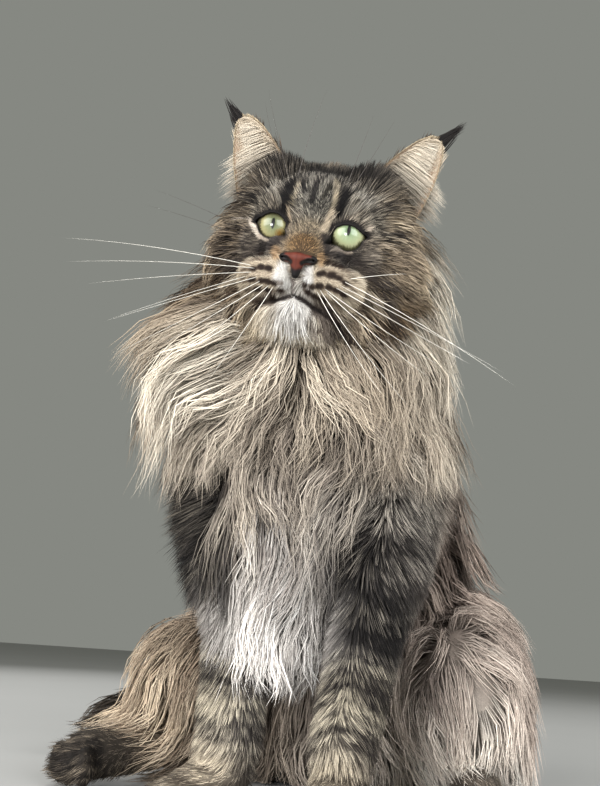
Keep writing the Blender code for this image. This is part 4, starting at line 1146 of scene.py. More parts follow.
def face_lie(points):
    """The lie of the hair on the head: away from the nose, and down on cheeks and chin."""
    away = unit(points - np.array((0, -0.045, -0.026)))
    side = smoothstep(0.030, 0.060, np.abs(points[:, 0]))
    low = smoothstep(-0.035, -0.055, points[:, 2])
    outward = np.sign(points[:, :1]) * ACROSS
    return away + (DOWN * 0.55 + outward * 0.6) * side[:, None] + DOWN * 0.5 * low[:, None]


def seen_more(points):
    """Weights that set the hair closer on the sides that are seen from the front."""
    return 0.45 + 0.55 * smoothstep(-0.35, 0.25, whole.slope(points) @ FRONT)


# Counts of the short hairs of the face, the locks round it and the locks under the chin
FACE_HAIRS = 60000
CHEEK_LOCKS = 1500
CHEEK_TUFTS = 480
CHIN_LOCKS = 380
# Strands in each lock, rings, radius, gathering, wave, its length, the strands' lengths and straying
CHEEK_LOCK = (7, 3, 0.0042, 0.6, 0.0016, 0.03, (0.6, 1.05), 0.0028)
CHIN_LOCK = (6, 3, 0.0030, 0.5, 0.0012, 0.03, (0.6, 1.05), 0.0022)
# Place, on the left, and reach of the taller hair at the inner edge of each ear
CROWN_TUFT = (0.030, 0.036, 0.048)
CROWN_REACH = 0.019


def add_face_hairs(coat, roots):
    """Short hair in small tufts."""
    count = len(roots)
    own = to_head(roots)
    size = face_shade(own)[0]
    from_tuft = own * (0, 1, 1) + np.abs(own * (1, 0, 0)) - CROWN_TUFT
    tall = np.exp(-np.sum(from_tuft**2, 1) / CROWN_REACH**2)
    size = size * random.uniform(0.7, 1.3, count) * (1 + 0.6 * tall)
    rise = 0.28 + 0.5 * tall + 0.18 * smoothstep(0.006, 0.012, size)
    widths = 0.00026 + size * 0.034
    flecks = 0.45 + 0.35 * smoothstep(0.0035, 0.0065, size)
    tufts(coat, roots, size, UNBOUND, rise, 0.45, head_shade, 3, flecks, widths, 0.7, 0.0004)


def add_cheek_locks(coat, roots):
    """Long hair on the cheeks and the back of the head."""
    count = len(roots)
    size, light, dark, share = face_shade(to_head(roots))
    size = size * random.uniform(0.8, 1.2, count)
    nearest = clusters(roots, CHEEK_TUFTS)
    reach = random.uniform(0.35, 0.95, count)[nearest] * random.uniform(0.9, 1.1, count)
    paths, out = grown_paths(roots, size, reach, 0.65, 0.5, 5, droop=0.12, curve=0.6)
    found = locks(gathered(paths, nearest, 0.45), out, *CHEEK_LOCK)
    tone = random.uniform(0.82, 1.12, count)[nearest] * random.uniform(0.9, 1.1, count)
    share = share + random.normal(0, 0.22, count)
    coat.add_locks(found, out, roots, (light, dark, share, tone), 0.45, 0.4, (0.0007, 0.0012), 0.7)


def add_chin_locks(coat, roots):
    """White hair that hangs from the chin."""
    count = len(roots)
    light, dark, share = head_shade(roots)
    size = random.uniform(0.011, 0.019, count)
    paths, out = grown_paths(roots, size, UNBOUND, 0.8, 0.6, 5, droop=1.2)
    found = locks(paths, out, *CHIN_LOCK)
    coat.add_locks(found, out, roots, (light, dark, share, np.ones(count)), 0.6, 0.5, (0.0006, 0.0010), 0.7)


def add_face_coat(surface, material):
    """The hair of the head, in short tufts and long locks."""
    points, triangles = surface
    centres = points[triangles].mean(1)
    own = to_head(centres)
    bare = (lids_gap(own) < 0.0010) & (own[:, 1] < EYE_DEPTH)
    bare |= np.linalg.norm(own - NOSE_SHIFT - NOSE_MIDDLE, axis=1) < 0.0060
    bare |= (nose_field.at(own - NOSE_SHIFT) < 0.0004) | (body.at(centres) < -0.004)
    seen = np.where(bare, 0, seen_more(centres))
    length = face_shade(own)[0]
    unwrap = unwrap_round((0, 0.03, 0), (0, 0, 1), (0, 1, 0), -0.10, 0.09)
    coat = Coat("face_coat", "head_fur", material, lambda roots: unwrap(to_head(roots)))
    short = np.clip(0.0075 / length, 0.35, 1.8) * (length < 0.020)
    add_face_hairs(coat, scattered(points, triangles, seen * short, FACE_HAIRS))
    long = smoothstep(0.009, 0.016, length)
    add_cheek_locks(coat, scattered(points, triangles, seen * long, CHEEK_LOCKS))
    below = smoothstep(-0.054, -0.060, own[:, 2]) * (own[:, 1] < 0.020) * (np.abs(own[:, 0]) < 0.032)
    add_chin_locks(coat, scattered(points, triangles, np.where(bare, 0, below), CHIN_LOCKS))
    coat.finish()


# Count of locks, strands in each, rings, length, its spread, lift, strands' width, radius, gathering, wave
# and least and most reach
COATS = {
    "neck": (1960, 8, 5, 0.084, 0.22, 0.70, 0.00088, 0.0062, 0.62, 0.0050, (0.40, 1.12)),
    "chest": (500, 8, 5, 0.066, 0.20, 0.45, 0.00092, 0.0058, 0.62, 0.0040, (0.45, 1.1)),
    "torso": (1000, 6, 3, 0.062, 0.20, 0.65, 0.00130, 0.0064, 0.60, 0.0020, (0.3, 1.30)),
    "thigh_left": (740, 7, 3, 0.060, 0.22, 0.65, 0.00105, 0.0066, 0.52, 0.0026, (0.2, 1.2)),
    "thigh_right": (620, 7, 3, 0.056, 0.22, 0.65, 0.00112, 0.0064, 0.60, 0.0026, (0.2, 1.15)),
    "tail": (480, 6, 3, 0.060, 0.20, 0.55, 0.00200, 0.0075, 0.55, 0.0018, (0.5, 1.0)),
}
LOCK_WAVE_LENGTH = 0.045
STRAND_LENGTHS = (0.55, 1.05)
STRAND_STRAY = 0.0040
# Height at which the long hair of a part ends, how far that height varies and the hair's least length
HEMS = {"neck": 0.202, "chest": 0.074}
HEM_SPREAD = 0.006
HEM_LEAST = 0.022
SLOTS = {
    "neck": "ruff_fur",
    "chest": "chest_fur",
    "torso": "body_fur",
    "thigh_left": "thigh_fur",
    "thigh_right": "thigh_fur",
    "tail": "tail_fur",
}
# Count of short hairs and their length on each short-haired part
SHORT_COATS = {
    "foreleg_left": (17500, 0.010),
    "foreleg_right": (16000, 0.010),
    "paw_left": (3200, 0.006),
    "paw_right": (3200, 0.006),
    "hindfoot_left": (3000, 0.007),
    "hindfoot_right": (4200, 0.007),
}
PARTING_X = 0.001
# Turns in the lie of the hair, from waves of random ways and phases
EDDY_STRENGTH = 0.13
EDDY_WAVES = 18
EDDY_WAYS = random.normal(0, 1, (EDDY_WAVES, 3)) * 80.0
EDDY_PHASES = random.uniform(0, 2 * math.pi, EDDY_WAVES)
TAIL_WAY_REACH = 0.03
# Depth over which the hair of two parts shares its lie
LIE_SOFT = 0.008


def ruff_lie(points):
    """The lie of the ruff, which is parted in the middle and sweeps to both sides."""
    outward = unit((points - np.array((-0.004, -0.125, 0))) * (1, 1, 0))
    height = points[:, 2:]
    top = smoothstep(0.27, 0.37, height)
    parted = points[:, :1] - PARTING_X
    left = smoothstep(0.004, -0.035, parted)
    right = smoothstep(0.0, 0.07, parted)
    spread = 1.25 * smoothstep(0.20, 0.27, height) * (1 - 0.55 * smoothstep(0.30, 0.36, height))
    spread = spread * (1 - 0.65 * smoothstep(-0.085, -0.125, points[:, :1]))
    sweep = -(0.35 + spread) * left + (0.28 + 0.4 * top) * right
    return DOWN + outward * (0.25 + 0.55 * top) + ACROSS * sweep


def tail_lie(points):
    """The lie along the tail."""
    places = np.array([one[0] for one in FORMS["tail"][0]])
    ways = unit(np.diff(places, axis=0))
    return unit(blend(points, (places[:-1] + places[1:]) / 2, [TAIL_WAY_REACH] * len(ways), ways))


def part_lie(name, points):
    """The lie of the hair of one part of the body."""
    side = -1 if name.endswith("right") else 1
    if name == "neck":
        return ruff_lie(points)
    if name == "chest":
        return DOWN + np.array((0, -0.10, 0)) + (points - np.array((-0.020, 0, 0))) * (3, 0, 0)
    if name == "torso":
        return DOWN + np.array((0, 0.25, 0))
    if name.startswith("thigh"):
        return DOWN + np.array((side * 0.45, 0.15, 0))
    if name == "tail":
        return tail_lie(points)
    if name in PAWS:
        wrist, tip = (np.array(place) for place in PAWS[name][:2])
        return unit((tip - wrist) * (1, 1, 0)) + (0, 0, -0.25)
    apart = (points[:, :1] - side * 0.045) * 12
    return DOWN + np.array((0, -0.15, 0)) + ACROSS * np.clip(apart, -0.6, 0.6)


def part_weights(points):
    """How much each part of the body, and last the head, counts at each point."""
    near = [form_distance(points, form, SKIN_SHARE) for form in FORMS.values()]
    near = np.stack([*near, face.at(to_head(points))], 1)
    weights = np.exp(-(near - near.min(1, keepdims=True)) / LIE_SOFT)
    return weights / weights.sum(1, keepdims=True)


def eddies(points):
    """Ways that turn smoothly and at random from place to place."""
    waves = np.sin(points @ EDDY_WAYS.T + EDDY_PHASES)
    return waves.reshape(len(points), 3, -1).sum(2)


def lie(points):
    """The lie of the hair, which turns smoothly from part to part."""
    weights = part_weights(points)
    total = weights[:, -1:] * (face_lie(to_head(points)) @ HEAD_TURN.T)
    for weight, name in zip(weights.T, FORMS):
        total += weight[:, None] * part_lie(name, points)
    eddy = EDDY_STRENGTH * (1 - 0.7 * weights[:, -1:] + 0.8 * weights[:, :1])
    return total + eddies(points) * eddy


def add_body_coat(surface, material):
    """Long locks on the body and short hair on legs and feet."""
    points, triangles = surface
    centres = points[triangles].mean(1)
    owner = np.argmax(part_weights(centres)[:, :-1], axis=1)
    free = (face.at(to_head(centres)) > -0.002) & (centres[:, 2] > 0.004)
    seen = free * seen_more(centres)
    for index, name in enumerate(FORMS):
        add_coat = add_long_coat if name in COATS else add_short_coat
        add_coat(name, points, triangles, (owner == index) * seen, material)


def unwrap_of(name):
    """An unwrap of one part of the body round its own length."""
    if name == "tail":
        return unwrap_round((-0.100, 0.110, 0.045), (0, 0, 1), (1, 0, 0), -0.06, 0.07)
    start, end = FORMS[name][0][0][0], FORMS[name][0][-1][0]
    axis = unit(end - start)
    zero = np.array((0, 1.0, 0.1)) - axis * (axis @ (0, 1.0, 0.1))
    return unwrap_round(start, axis, zero, -0.10, np.linalg.norm(end - start) + 0.10)


def lock_sizes(name, roots, length, varied):
    """Lengths of the locks, which are other on the upper right of the ruff and at the right thigh's side."""
    size = length * random.uniform(1 - varied, 1 + varied, len(roots))
    if name == "neck":
        upper = smoothstep(0.30, 0.35, roots[:, 2])
        size = size * (1 + (0.22 - 0.50 * upper) * smoothstep(-0.01, -0.05, roots[:, 0]))
    if name == "thigh_right":
        outer = smoothstep(-0.100, -0.130, roots[:, 0]) * smoothstep(0.045, 0.080, roots[:, 2])
        size = size * (1 + 0.28 * outer)
    return size


def hemmed(paths, roots, size, height):
    """Paths that end near a height."""
    hem = height + random.normal(0, HEM_SPREAD, len(paths))
    top, end = roots[:, 2], paths[:, -1, 2]
    kept = np.where(end < hem, np.maximum((top - hem) / np.maximum(top - end, 1e-6), HEM_LEAST / size), 1)
    return along(paths, np.linspace(0, 1, paths.shape[1])[None] * np.clip(kept, 0, 1)[:, None])


def add_long_coat(name, points, triangles, weights, material):
    """The locks of one long-haired part."""
    count, each, rings, length, varied, lift, width, radius, gather, wave, (least, most) = COATS[name]
    roots = scattered(points, triangles, weights, count)
    nearest = clusters(roots, count // 5)
    size = lock_sizes(name, roots, length, varied)
    lifts = lift * random.uniform(0.6, 1.4, count)
    layer = random.random(count)[nearest]
    reaches = (least + (most - least) * layer) * random.uniform(0.85, 1.1, count)
    paths, normals = grown_paths(roots, size, reaches, 0.95, lifts, 6, curve=0.80 - 0.50 * layer)
    if name in HEMS:
        paths = hemmed(paths, roots, size, HEMS[name])
    paths = gathered(paths, nearest, 0.55)
    shape = (each, rings, radius, gather, wave, LOCK_WAVE_LENGTH, STRAND_LENGTHS, STRAND_STRAY)
    found = locks(paths, normals, *shape)
    light, dark, share = body_shade(roots)
    tone = (0.78 + 0.34 * layer) * random.uniform(0.88, 1.10, count)[nearest]
    tone = tone * random.uniform(0.92, 1.08, count)
    shade = light, dark, share + 0.34 * (layer - 0.5) + random.normal(0, 0.14, count), tone
    coat = Coat(f"{name}_coat", SLOTS[name], material, unwrap_of(name))
    coat.add_locks(found, normals, roots, shade, 0.38, 0.36, (0.6 * width, 1.35 * width), 0.8)
    coat.finish()


def add_short_coat(name, points, triangles, weights, material):
    """The short hair of one leg or paw."""
    count, length = SHORT_COATS[name]
    roots = scattered(points, triangles, weights, count)
    upper = smoothstep(0.09, 0.20, roots[:, 2])
    wide = upper * smoothstep(-0.050, -0.080, roots[:, 0])
    size = length * random.uniform(0.7, 1.3, count) * (1 + 1.2 * upper + 1.6 * wide)
    reach = random.uniform(0.6, 1.0, count) * (1 + 0.6 * upper + 1.2 * wide)
    rise = 0.35 + 0.3 * upper + 0.25 * wide
    coat = Coat(f"{name}_coat", "leg_fur", material, unwrap_of(name))
    lifts = random.uniform(0.25, 0.6, count)
    tufts(coat, roots, size, reach, rise, lifts, body_shade, 4, 0.45 + 0.3 * upper, 0.0003 + size * 0.030)
    coat.finish()


# Heights on an ear and how far its inner and outer edge lie there, in half widths of its base
EAR_HEIGHTS = (-0.32, 0.0, 0.20, 0.45, 0.64, 0.80, 0.90, 0.97)
EAR_INNER = (-1.10, -1.20, -1.08, -0.90, -0.72, -0.50, -0.30, 0.02)
EAR_OUTER = (0.95, 1.00, 0.93, 0.82, 0.66, 0.48, 0.32, 0.06)
EAR_HOLLOW = (0.85, 0.9, 0.75, 0.55, 0.38, 0.22, 0.10, 0.0)
EAR_TUFT = (0.47, 1.43)
EAR_ACROSS = 25
EAR_UP = 33
EAR_HALF = np.linalg.norm(EAR_OUTER_BASE - EAR_INNER_BASE) / 2
# Colours of an ear's skin in its cup, on its back and at its rim
EAR_CUP_SKIN = (152, 130, 110)
EAR_BACK_SKIN = (52, 46, 42)
EAR_RIM_SKIN = (128, 110, 88)
# Counts of the hairs of an ear, and of the wisps that its furnishings gather in
LINING_HAIRS = 2500
WISP_HAIRS = 720
WISPS = 22
WISP_TOP = 0.76
BACK_HAIRS = 950
RIM_HAIRS = 800
TUFT_HAIRS = 90


def ear_frame(side):
    """The middle of an ear's base, and the ways across, up and out of its cup."""
    flip = np.array((side, 1, 1))
    middle = (EAR_INNER_BASE + EAR_OUTER_BASE) / 2
    across = unit(EAR_OUTER_BASE - EAR_INNER_BASE)
    up = EAR_TIP - middle
    out = unit(np.cross(across, up))
    return middle * flip, across * flip, up * flip, out * flip


def ear_sideways(across, height):
    """How far places on an ear lie sideways, in half widths of its base."""
    inner, outer = (np.interp(height, EAR_HEIGHTS, row) for row in (EAR_INNER, EAR_OUTER))
    return inner + (outer - inner) * (across + 1) / 2


def ear_places(side, across_share, height, layer):
    """Places on an ear, across from -1 to 1 and up from its base to its tip, in the cup or on the back."""
    middle, across, up, out = ear_frame(side)
    sideways = ear_sideways(across_share, height) * EAR_HALF
    hollow = np.interp(height, EAR_HEIGHTS, EAR_HOLLOW)
    depth = hollow * np.maximum(1 - across_share**2, 0) ** 0.75 * EAR_HALF
    depth = depth + layer * EAR_WALL * (0.45 + 0.55 * np.maximum(1 - np.abs(across_share) ** 3, 0))
    return middle + across * sideways[..., None] + up * height[..., None] - out * depth[..., None]


def ear_shape(side):
    """Points and triangles of an ear's cup and back, and how far out and up each point lies."""
    up = EAR_HEIGHTS[0] + (EAR_HEIGHTS[-1] - EAR_HEIGHTS[0]) * (1 - (1 - np.linspace(0, 1, EAR_UP)) ** 1.6)
    height, across = np.meshgrid(up, np.linspace(-1, 1, EAR_ACROSS), indexing="ij")
    points = np.concatenate([ear_places(side, across, height, layer).reshape(-1, 3) for layer in (0, 1)])
    count = EAR_UP * EAR_ACROSS
    cells = np.arange(count).reshape(EAR_UP, EAR_ACROSS)
    quads = np.stack([cells[:-1, :-1], cells[:-1, 1:], cells[1:, 1:], cells[1:, :-1]], -1).reshape(-1, 4)
    rim = np.concatenate([cells[0, :-1], cells[:-1, -1], cells[-1, :0:-1], cells[:0:-1, 0]])
    after = np.roll(rim, -1)
    walls = np.stack([after, rim, rim + count, after + count], 1)
    quads = np.concatenate([quads, quads[:, ::-1] + count, walls])
    return points, halved(quads if side > 0 else quads[:, ::-1]), np.abs(across).ravel(), height.ravel()


def ear_colours(out, up):
    """Colours of the skin in an ear's cup and then on its back, with a pale rim."""
    pale = smoothstep(0.92, 0.99, np.maximum(out, up - 0.03))[:, None]
    sides = [linear(EAR_CUP_SKIN), linear(EAR_BACK_SKIN)]
    return np.concatenate([side + (linear(EAR_RIM_SKIN) - side) * pale for side in sides])


def add_ears(fur, shell):
    """Ears with thin rims, pale furnishings that sweep out of the cups and black tufts at the tips."""
    for name, side in (("ear_left", 1), ("ear_right", -1)):
        points, triangles, out, up = ear_shape(side)
        ear = new_mesh(f"{name}_shell", to_cat(points), triangles)
        set_colours(ear, ear_colours(out, up))
        dress(ear, shell, "ear_fur", name)
        add_ear_coat(name, side, fur)


def add_ear_coat(name, side, fur):
    """The hair of one ear."""
    unwrap = unwrap_round(ear_frame(side)[0], (0, 0, 1), (0, 1, 0), -0.03, 0.08)
    coat = Coat(f"{name}_coat", "ear_fur", fur, lambda roots: unwrap(to_head(roots)))
    for add_hairs in (add_lining, add_wisps, add_back_hairs, add_rim_hairs, add_tuft):
        add_hairs(coat, side)
    coat.finish()


def ear_hairs(coat, side, across, height, ends, bow, layer, widths, tints, rings, root=0.6):
    """Hairs that grow from places on an ear to ends given across, up and out of its cup, from their roots."""
    middle, sideways, up, out = ear_frame(side)
    count = len(across)
    roots = ear_places(side, across, height, np.full(count, layer))
    ways = ends @ np.stack([sideways * EAR_HALF, up, out])
    length = np.linalg.norm(ways, axis=1)
    reach = np.linspace(0, 1, rings + 1)
    bowed = out * (np.sin(reach[:, None] * math.pi) * bow * length[:, None, None] * (1 - 2 * layer))
    paths = roots[:, None] + ways[:, None] * reach[:, None] + bowed
    deep = 0.66 + 0.34 * smoothstep(-0.05, 0.36, height + 0.10 * across)[:, None]
    light, dark = (np.array(tint) * (np.ones((count, 1)) if layer else deep) for tint in tints[:2])
    colours = hair_colours(light, dark, tints[2], np.tile(reach, (count, 1)), root, 0.4)
    normals = np.tile(out @ HEAD_TURN.T, (count, 1))
    coat.add(to_cat(paths.reshape(-1, 3)).reshape(paths.shape), normals, widths, 0.7, colours, to_cat(roots))


def add_lining(coat, side):
    """Short pale hair that lines the cup and leans outwards."""
    count = LINING_HAIRS
    across, height = random.uniform(-0.95, 0.90, count), random.uniform(-0.2, 0.94, count)
    size = random.uniform(0.20, 0.48, count)
    rises = np.minimum(size * random.uniform(0.05, 0.50, count) * (1 + height), 0.955 - height)
    room = 0.94 * np.interp(height + rises, EAR_HEIGHTS, EAR_OUTER) - ear_sideways(across, height)
    swing = np.minimum(size, np.maximum(room, 0.02))
    ends = np.stack([swing, rises, random.uniform(0.0005, 0.0018, count)], 1)
    widths = random.uniform(0.0004, 0.0007, count)
    tints = (212, 199, 178), (168, 151, 130), 0.55
    ear_hairs(coat, side, across, height, ends, 0.1, 0, widths, tints, 2, 0.85)


def add_wisps(coat, side):
    """Long furnishings in wisps, of which the lower ones sweep out over the ear's outer edge."""
    count = WISP_HAIRS
    height = WISP_TOP * random.random(count) ** 1.15
    across = random.uniform(-0.95, 0.10, count)
    wisp = np.floor(height / WISP_TOP * WISPS + random.normal(0, 0.35, count)).astype(int).clip(0, WISPS - 1)
    middle = (wisp + 0.5) / WISPS * WISP_TOP
    below = 1 - smoothstep(0.24, 0.50, np.arange(WISPS) / WISPS * WISP_TOP)
    loose = (random.random(WISPS) < below)[wisp]
    over = np.where(loose, random.uniform(1.55, 2.30, WISPS)[wisp], random.uniform(0.45, 0.90, WISPS)[wisp])
    over = over * np.where(loose, random.uniform(0.62, 1.02, count), random.uniform(0.8, 1.03, count))
    reached = middle + 0.02 + 0.07 * loose + 0.16 * middle + random.normal(0, 0.028, count)
    ends = over * np.interp(reached, EAR_HEIGHTS, EAR_OUTER) - ear_sideways(across, height)
    ends = np.stack([np.maximum(ends, 0.15), reached - height, random.uniform(0.0008, 0.0035, count)], 1)
    widths = random.uniform(0.00035, 0.0007, count)
    tints = (236, 226, 208), (192, 175, 154), 0.62
    ear_hairs(coat, side, across, height, ends, 0.06, 0, widths, tints, 4, 0.92)


def add_back_hairs(coat, side):
    """Dark hair on the back of the ear."""
    count = BACK_HAIRS
    across, height = random.uniform(-0.93, 0.84, count), random.uniform(-0.2, 0.92, count)
    size = random.uniform(0.12, 0.22, count) * (1 + 0.8 * (height < 0.25)) * (1 - 0.5 * (height > 0.8))
    ends = np.stack([random.normal(-0.03, 0.06, count), size, random.uniform(-0.004, -0.001, count)], 1)
    widths = random.uniform(0.0006, 0.0011, count)
    tints = (120, 104, 88), (40, 35, 32), 0.35
    ear_hairs(coat, side, across, height, ends, 0.1, 1, widths, tints, 2)


def add_rim_hairs(coat, side):
    """Short hair along both edges of the ear."""
    count = RIM_HAIRS
    edge = random.random(count) < 0.5
    across, height = np.where(edge, -0.99, 0.99), random.uniform(-0.05, 0.95, count)
    inward = np.where(edge, 0.02, -0.10 * np.maximum(height, 0))
    ends = np.stack([inward, random.uniform(0.03, 0.07, count), random.normal(0, 0.0006, count)], 1)
    widths = random.uniform(0.0004, 0.0007, count)
    tints = (206, 190, 160), (96, 82, 66), 0.55
    ear_hairs(coat, side, across, height, ends, 0.0, 0, widths, tints, 2)


def add_tuft(coat, side):
    """The black tuft at the tip of the ear."""
    count = TUFT_HAIRS
    across, height = random.uniform(-0.8, 1.0, count), random.uniform(0.84, 0.965, count)
    tip = np.array(EAR_TUFT) + random.normal(0, 0.05, (count, 2)) * (1, 0.6)
    ends = tip - np.stack([ear_sideways(across, height), height], 1)
    ends = ends * random.uniform(0.45, 1.0, (count, 1))
    ends = np.concatenate([ends, random.normal(0, 0.0006, (count, 1))], 1)
    widths = random.uniform(0.0005, 0.0010, count)
    ear_hairs(coat, side, across, height, ends, 0.08, 0, widths, ((52, 46, 43), BLACK, 0.3), 4, 0.9)


# Ways that the eyes look, in the head's frame
GAZE = {1: (0.09, -1.0, 0.24), -1: (0.08, -1.0, 0.08)}
# Colours of each iris from its middle to its edge, and where they lie on its radius
IRIS_TINTS = {
    1: ((75, 88, 58), (98, 116, 86), (123, 137, 104), (146, 154, 119), (150, 152, 116), (74, 72, 50)),
    -1: ((75, 77, 50), (87, 93, 64), (109, 114, 81), (136, 133, 95), (140, 133, 94), (70, 66, 46)),
}
IRIS_STOPS = (0, 0.25, 0.5, 0.8, 0.93, 1.04)
EYE_RIM = (18, 14, 12)
# Half width and half height of the pupil's slit
PUPIL = (0.00115, 0.0038)
# Colour of the brown spot in the right iris, and its place on the eyeball
IRIS_SPOT = (120, 84, 30)
SPOT_PLACE = (0.0050, -0.0052, 0.0095)
EYE_ROWS = 40
EYE_TURNS = 64


def colour_ramp(material, value, stops):
    """A colour that goes through stops with a value."""
    ramp = node(material, "ShaderNodeValToRGB", Fac=value)
    elements = ramp.color_ramp.elements
    while len(elements) < len(stops):
        elements.new(0.5)
    for element, (position, colour) in zip(elements, stops):
        element.position = position
        element.color = solid(colour)
    return ramp.outputs["Color"]


def eye_material(name, side):
    """A wet eye with a slit pupil in a pale green iris, round the object's own Z axis."""
    material, shader = new_material(name, 0.30, 0.3)
    feed(shader.inputs["Coat Weight"], 0.6)
    feed(shader.inputs["Coat Roughness"], 0.02)
    places = node(material, "ShaderNodeTexCoord").outputs["Object"]
    apart = node(material, "ShaderNodeSeparateXYZ", Vector=places)

    def maths(kind, *values):
        """A maths node on sockets or numbers."""
        made = node(material, "ShaderNodeMath", operation=kind)
        for socket, value in zip(made.inputs, values):
            feed(socket, value)
        return made.outputs[0]

    def radius(first, second):
        """The length of a way of two parts."""
        return maths("SQRT", maths("ADD", maths("MULTIPLY", first, first), maths("MULTIPLY", second, second)))

    across, up = apart.outputs["X"], apart.outputs["Y"]
    ring, turn = radius(across, up), maths("ARCTAN2", up, across)
    wheel = [maths("MULTIPLY", maths(kind, turn), 9.0) for kind in ("COSINE", "SINE")]
    polar = node(material, "ShaderNodeCombineXYZ", X=wheel[0], Y=wheel[1], Z=maths("MULTIPLY", ring, 260.0))
    streaks = node(material, "ShaderNodeTexNoise", Vector=polar.outputs["Vector"], Scale=1.0, Detail=4.0)
    feed(streaks.inputs["Roughness"], 0.6)
    streaks = streaks.outputs["Fac"]
    uneven = maths("SUBTRACT", streaks, 0.5)
    shifted = maths("ADD", ring, maths("MULTIPLY", uneven, 0.0034))
    stops = [(share * IRIS[side], colour) for share, colour in zip(IRIS_STOPS, IRIS_TINTS[side])]
    colour = colour_ramp(material, maths("DIVIDE", shifted, EYE_RADIUS), [*stops, (1.0, EYE_RIM)])
    if side < 0:
        away = node(material, "ShaderNodeVectorMath", operation="DISTANCE", Vector=places)
        feed(away.inputs[1], SPOT_PLACE)
        near = maths("ADD", away.outputs["Value"], maths("MULTIPLY", uneven, 0.006))
        colour = mixed(material, ranged(material, near, 0.0012, 0.0040, 0.85, 0.0), colour, solid(IRIS_SPOT))
    # Painted shade of the upper lid: the iris darkens towards its top
    colour = scaled(material, colour, ranged(material, up, 0.0010, 0.0062, 1.0, 0.16))
    slit = radius(maths("DIVIDE", across, PUPIL[0]), maths("DIVIDE", up, PUPIL[1]))
    outside = ranged(material, slit, 0.88, 1.12)
    feed(shader.inputs["Base Color"], mixed(material, outside, (0.004, 0.004, 0.004, 1), colour))
    bump(material, shader, streaks, 0.08, 0.0005)
    return material


def eyeball_shape():
    """Points and triangles of an eyeball round its own Z axis, with a slight bulge in front."""
    turns = np.arange(EYE_TURNS) * 2 * math.pi / EYE_TURNS
    tilt, turn = np.meshgrid(np.linspace(0, math.pi, EYE_ROWS), turns, indexing="ij")
    bulge = EYE_RADIUS * (1 + 0.035 * np.exp(-((tilt / 0.55) ** 2)))
    flat = bulge * np.sin(tilt)
    points = np.stack([flat * np.cos(turn), flat * np.sin(turn), bulge * np.cos(tilt)], -1).reshape(-1, 3)
    cells = np.arange(EYE_ROWS * EYE_TURNS).reshape(EYE_ROWS, EYE_TURNS)
    beside = np.roll(cells, -1, axis=1)
    triangles = halved(np.stack([cells[:-1], cells[1:], beside[1:], beside[:-1]], -1).reshape(-1, 4))
    last = cells[-1, 0]
    triangles = np.where(triangles < EYE_TURNS, 0, np.where(triangles >= last, last, triangles))
    triangles = triangles[[len(set(row)) == 3 for row in triangles.tolist()]]
    used, index = np.unique(triangles, return_inverse=True)
    return points[used], index.reshape(-1, 3)


def add_eyes():
    """Eyeballs whose own Z axis looks where the cat does."""
    for name, side in (("eye_left", 1), ("eye_right", -1)):
        made = new_mesh(f"{name}_ball", *eyeball_shape())
        gaze = unit(np.array(GAZE[side]))
        right = unit(np.cross(-DOWN, gaze))
        matrix = np.eye(4)
        matrix[:3, :3] = HEAD_TURN @ np.stack([right, np.cross(gaze, right), gaze], 1)
        matrix[:3, 3] = to_cat(np.array((side * EYE_X[side], 0, 0)))
        made.matrix_world = Matrix(matrix.tolist())
        dress(made, eye_material(f"{name}_surface", side), "eye", name)


NOSE_SOFT = 0.0016
NOSTRIL_SOFT = 0.0008
NOSE_RED = (84, 37, 26)
# Black of the leather's edge, also used as painted shade in the nostrils
NOSE_BLACK_AND_HOLE_SHADE = (12, 9, 9)


def nose_shape():
    """The nose leather with its nostrils, in the head's frame."""
    field = Field(*NOSE_BOX, NOSE_STEP)
    field.join(NOSE + mirrored(NOSE), 0, NOSE_SOFT)
    field.cut(NOSTRIL + mirrored(NOSTRIL), NOSTRIL_SOFT)
    return field


def nose_colours(points):
    """Brick red with a darker line down the middle, black at the edge, and painted shade in the nostrils."""
    across, height = np.abs(points[:, 0]), points[:, 2]
    hole = np.min([link_distance(np.abs(points) * (1, -1, -1), *link) for link in links(NOSTRIL, 0)], axis=0)
    edge = smoothstep(0.0070, 0.0094, across + 0.35 * np.maximum(-0.0262 - height, 0))
    low = smoothstep(-0.0300, -0.0325, height - across * 0.5)
    top = smoothstep(-0.0212, -0.0200, height)
    # In the nostrils this black is painted shade in the holes; the edge and bottom are the leather's own
    # black
    black = np.maximum.reduce([edge, low, top * 0.7, 1 - smoothstep(0.0004, 0.0014, hole)])[:, None]
    line = (np.exp(-((across / 0.0005) ** 2)) * (points[:, 1] < -0.030) * 0.5)[:, None]
    return linear(NOSE_RED) * (1 - 0.45 * line) * (1 - black) + linear(NOSE_BLACK_AND_HOLE_SHADE) * black


def add_nose(field):
    """The nose leather, with a fine grain."""
    points, triangles = field.surface()
    nose = new_mesh("nose_leather", to_cat(points + NOSE_SHIFT), triangles)
    set_colours(nose, nose_colours(points))
    material, shader = new_material("nose_surface", 0.55, 0.22)
    feed(shader.inputs["Base Color"], mesh_colours(material))
    places = node(material, "ShaderNodeTexCoord").outputs["Object"]
    grain = node(material, "ShaderNodeTexVoronoi", Vector=places, Scale=1500.0)
    bump(material, shader, grain.outputs["Distance"], 0.35, 0.0004)
    dress(nose, material, "nose_leather")


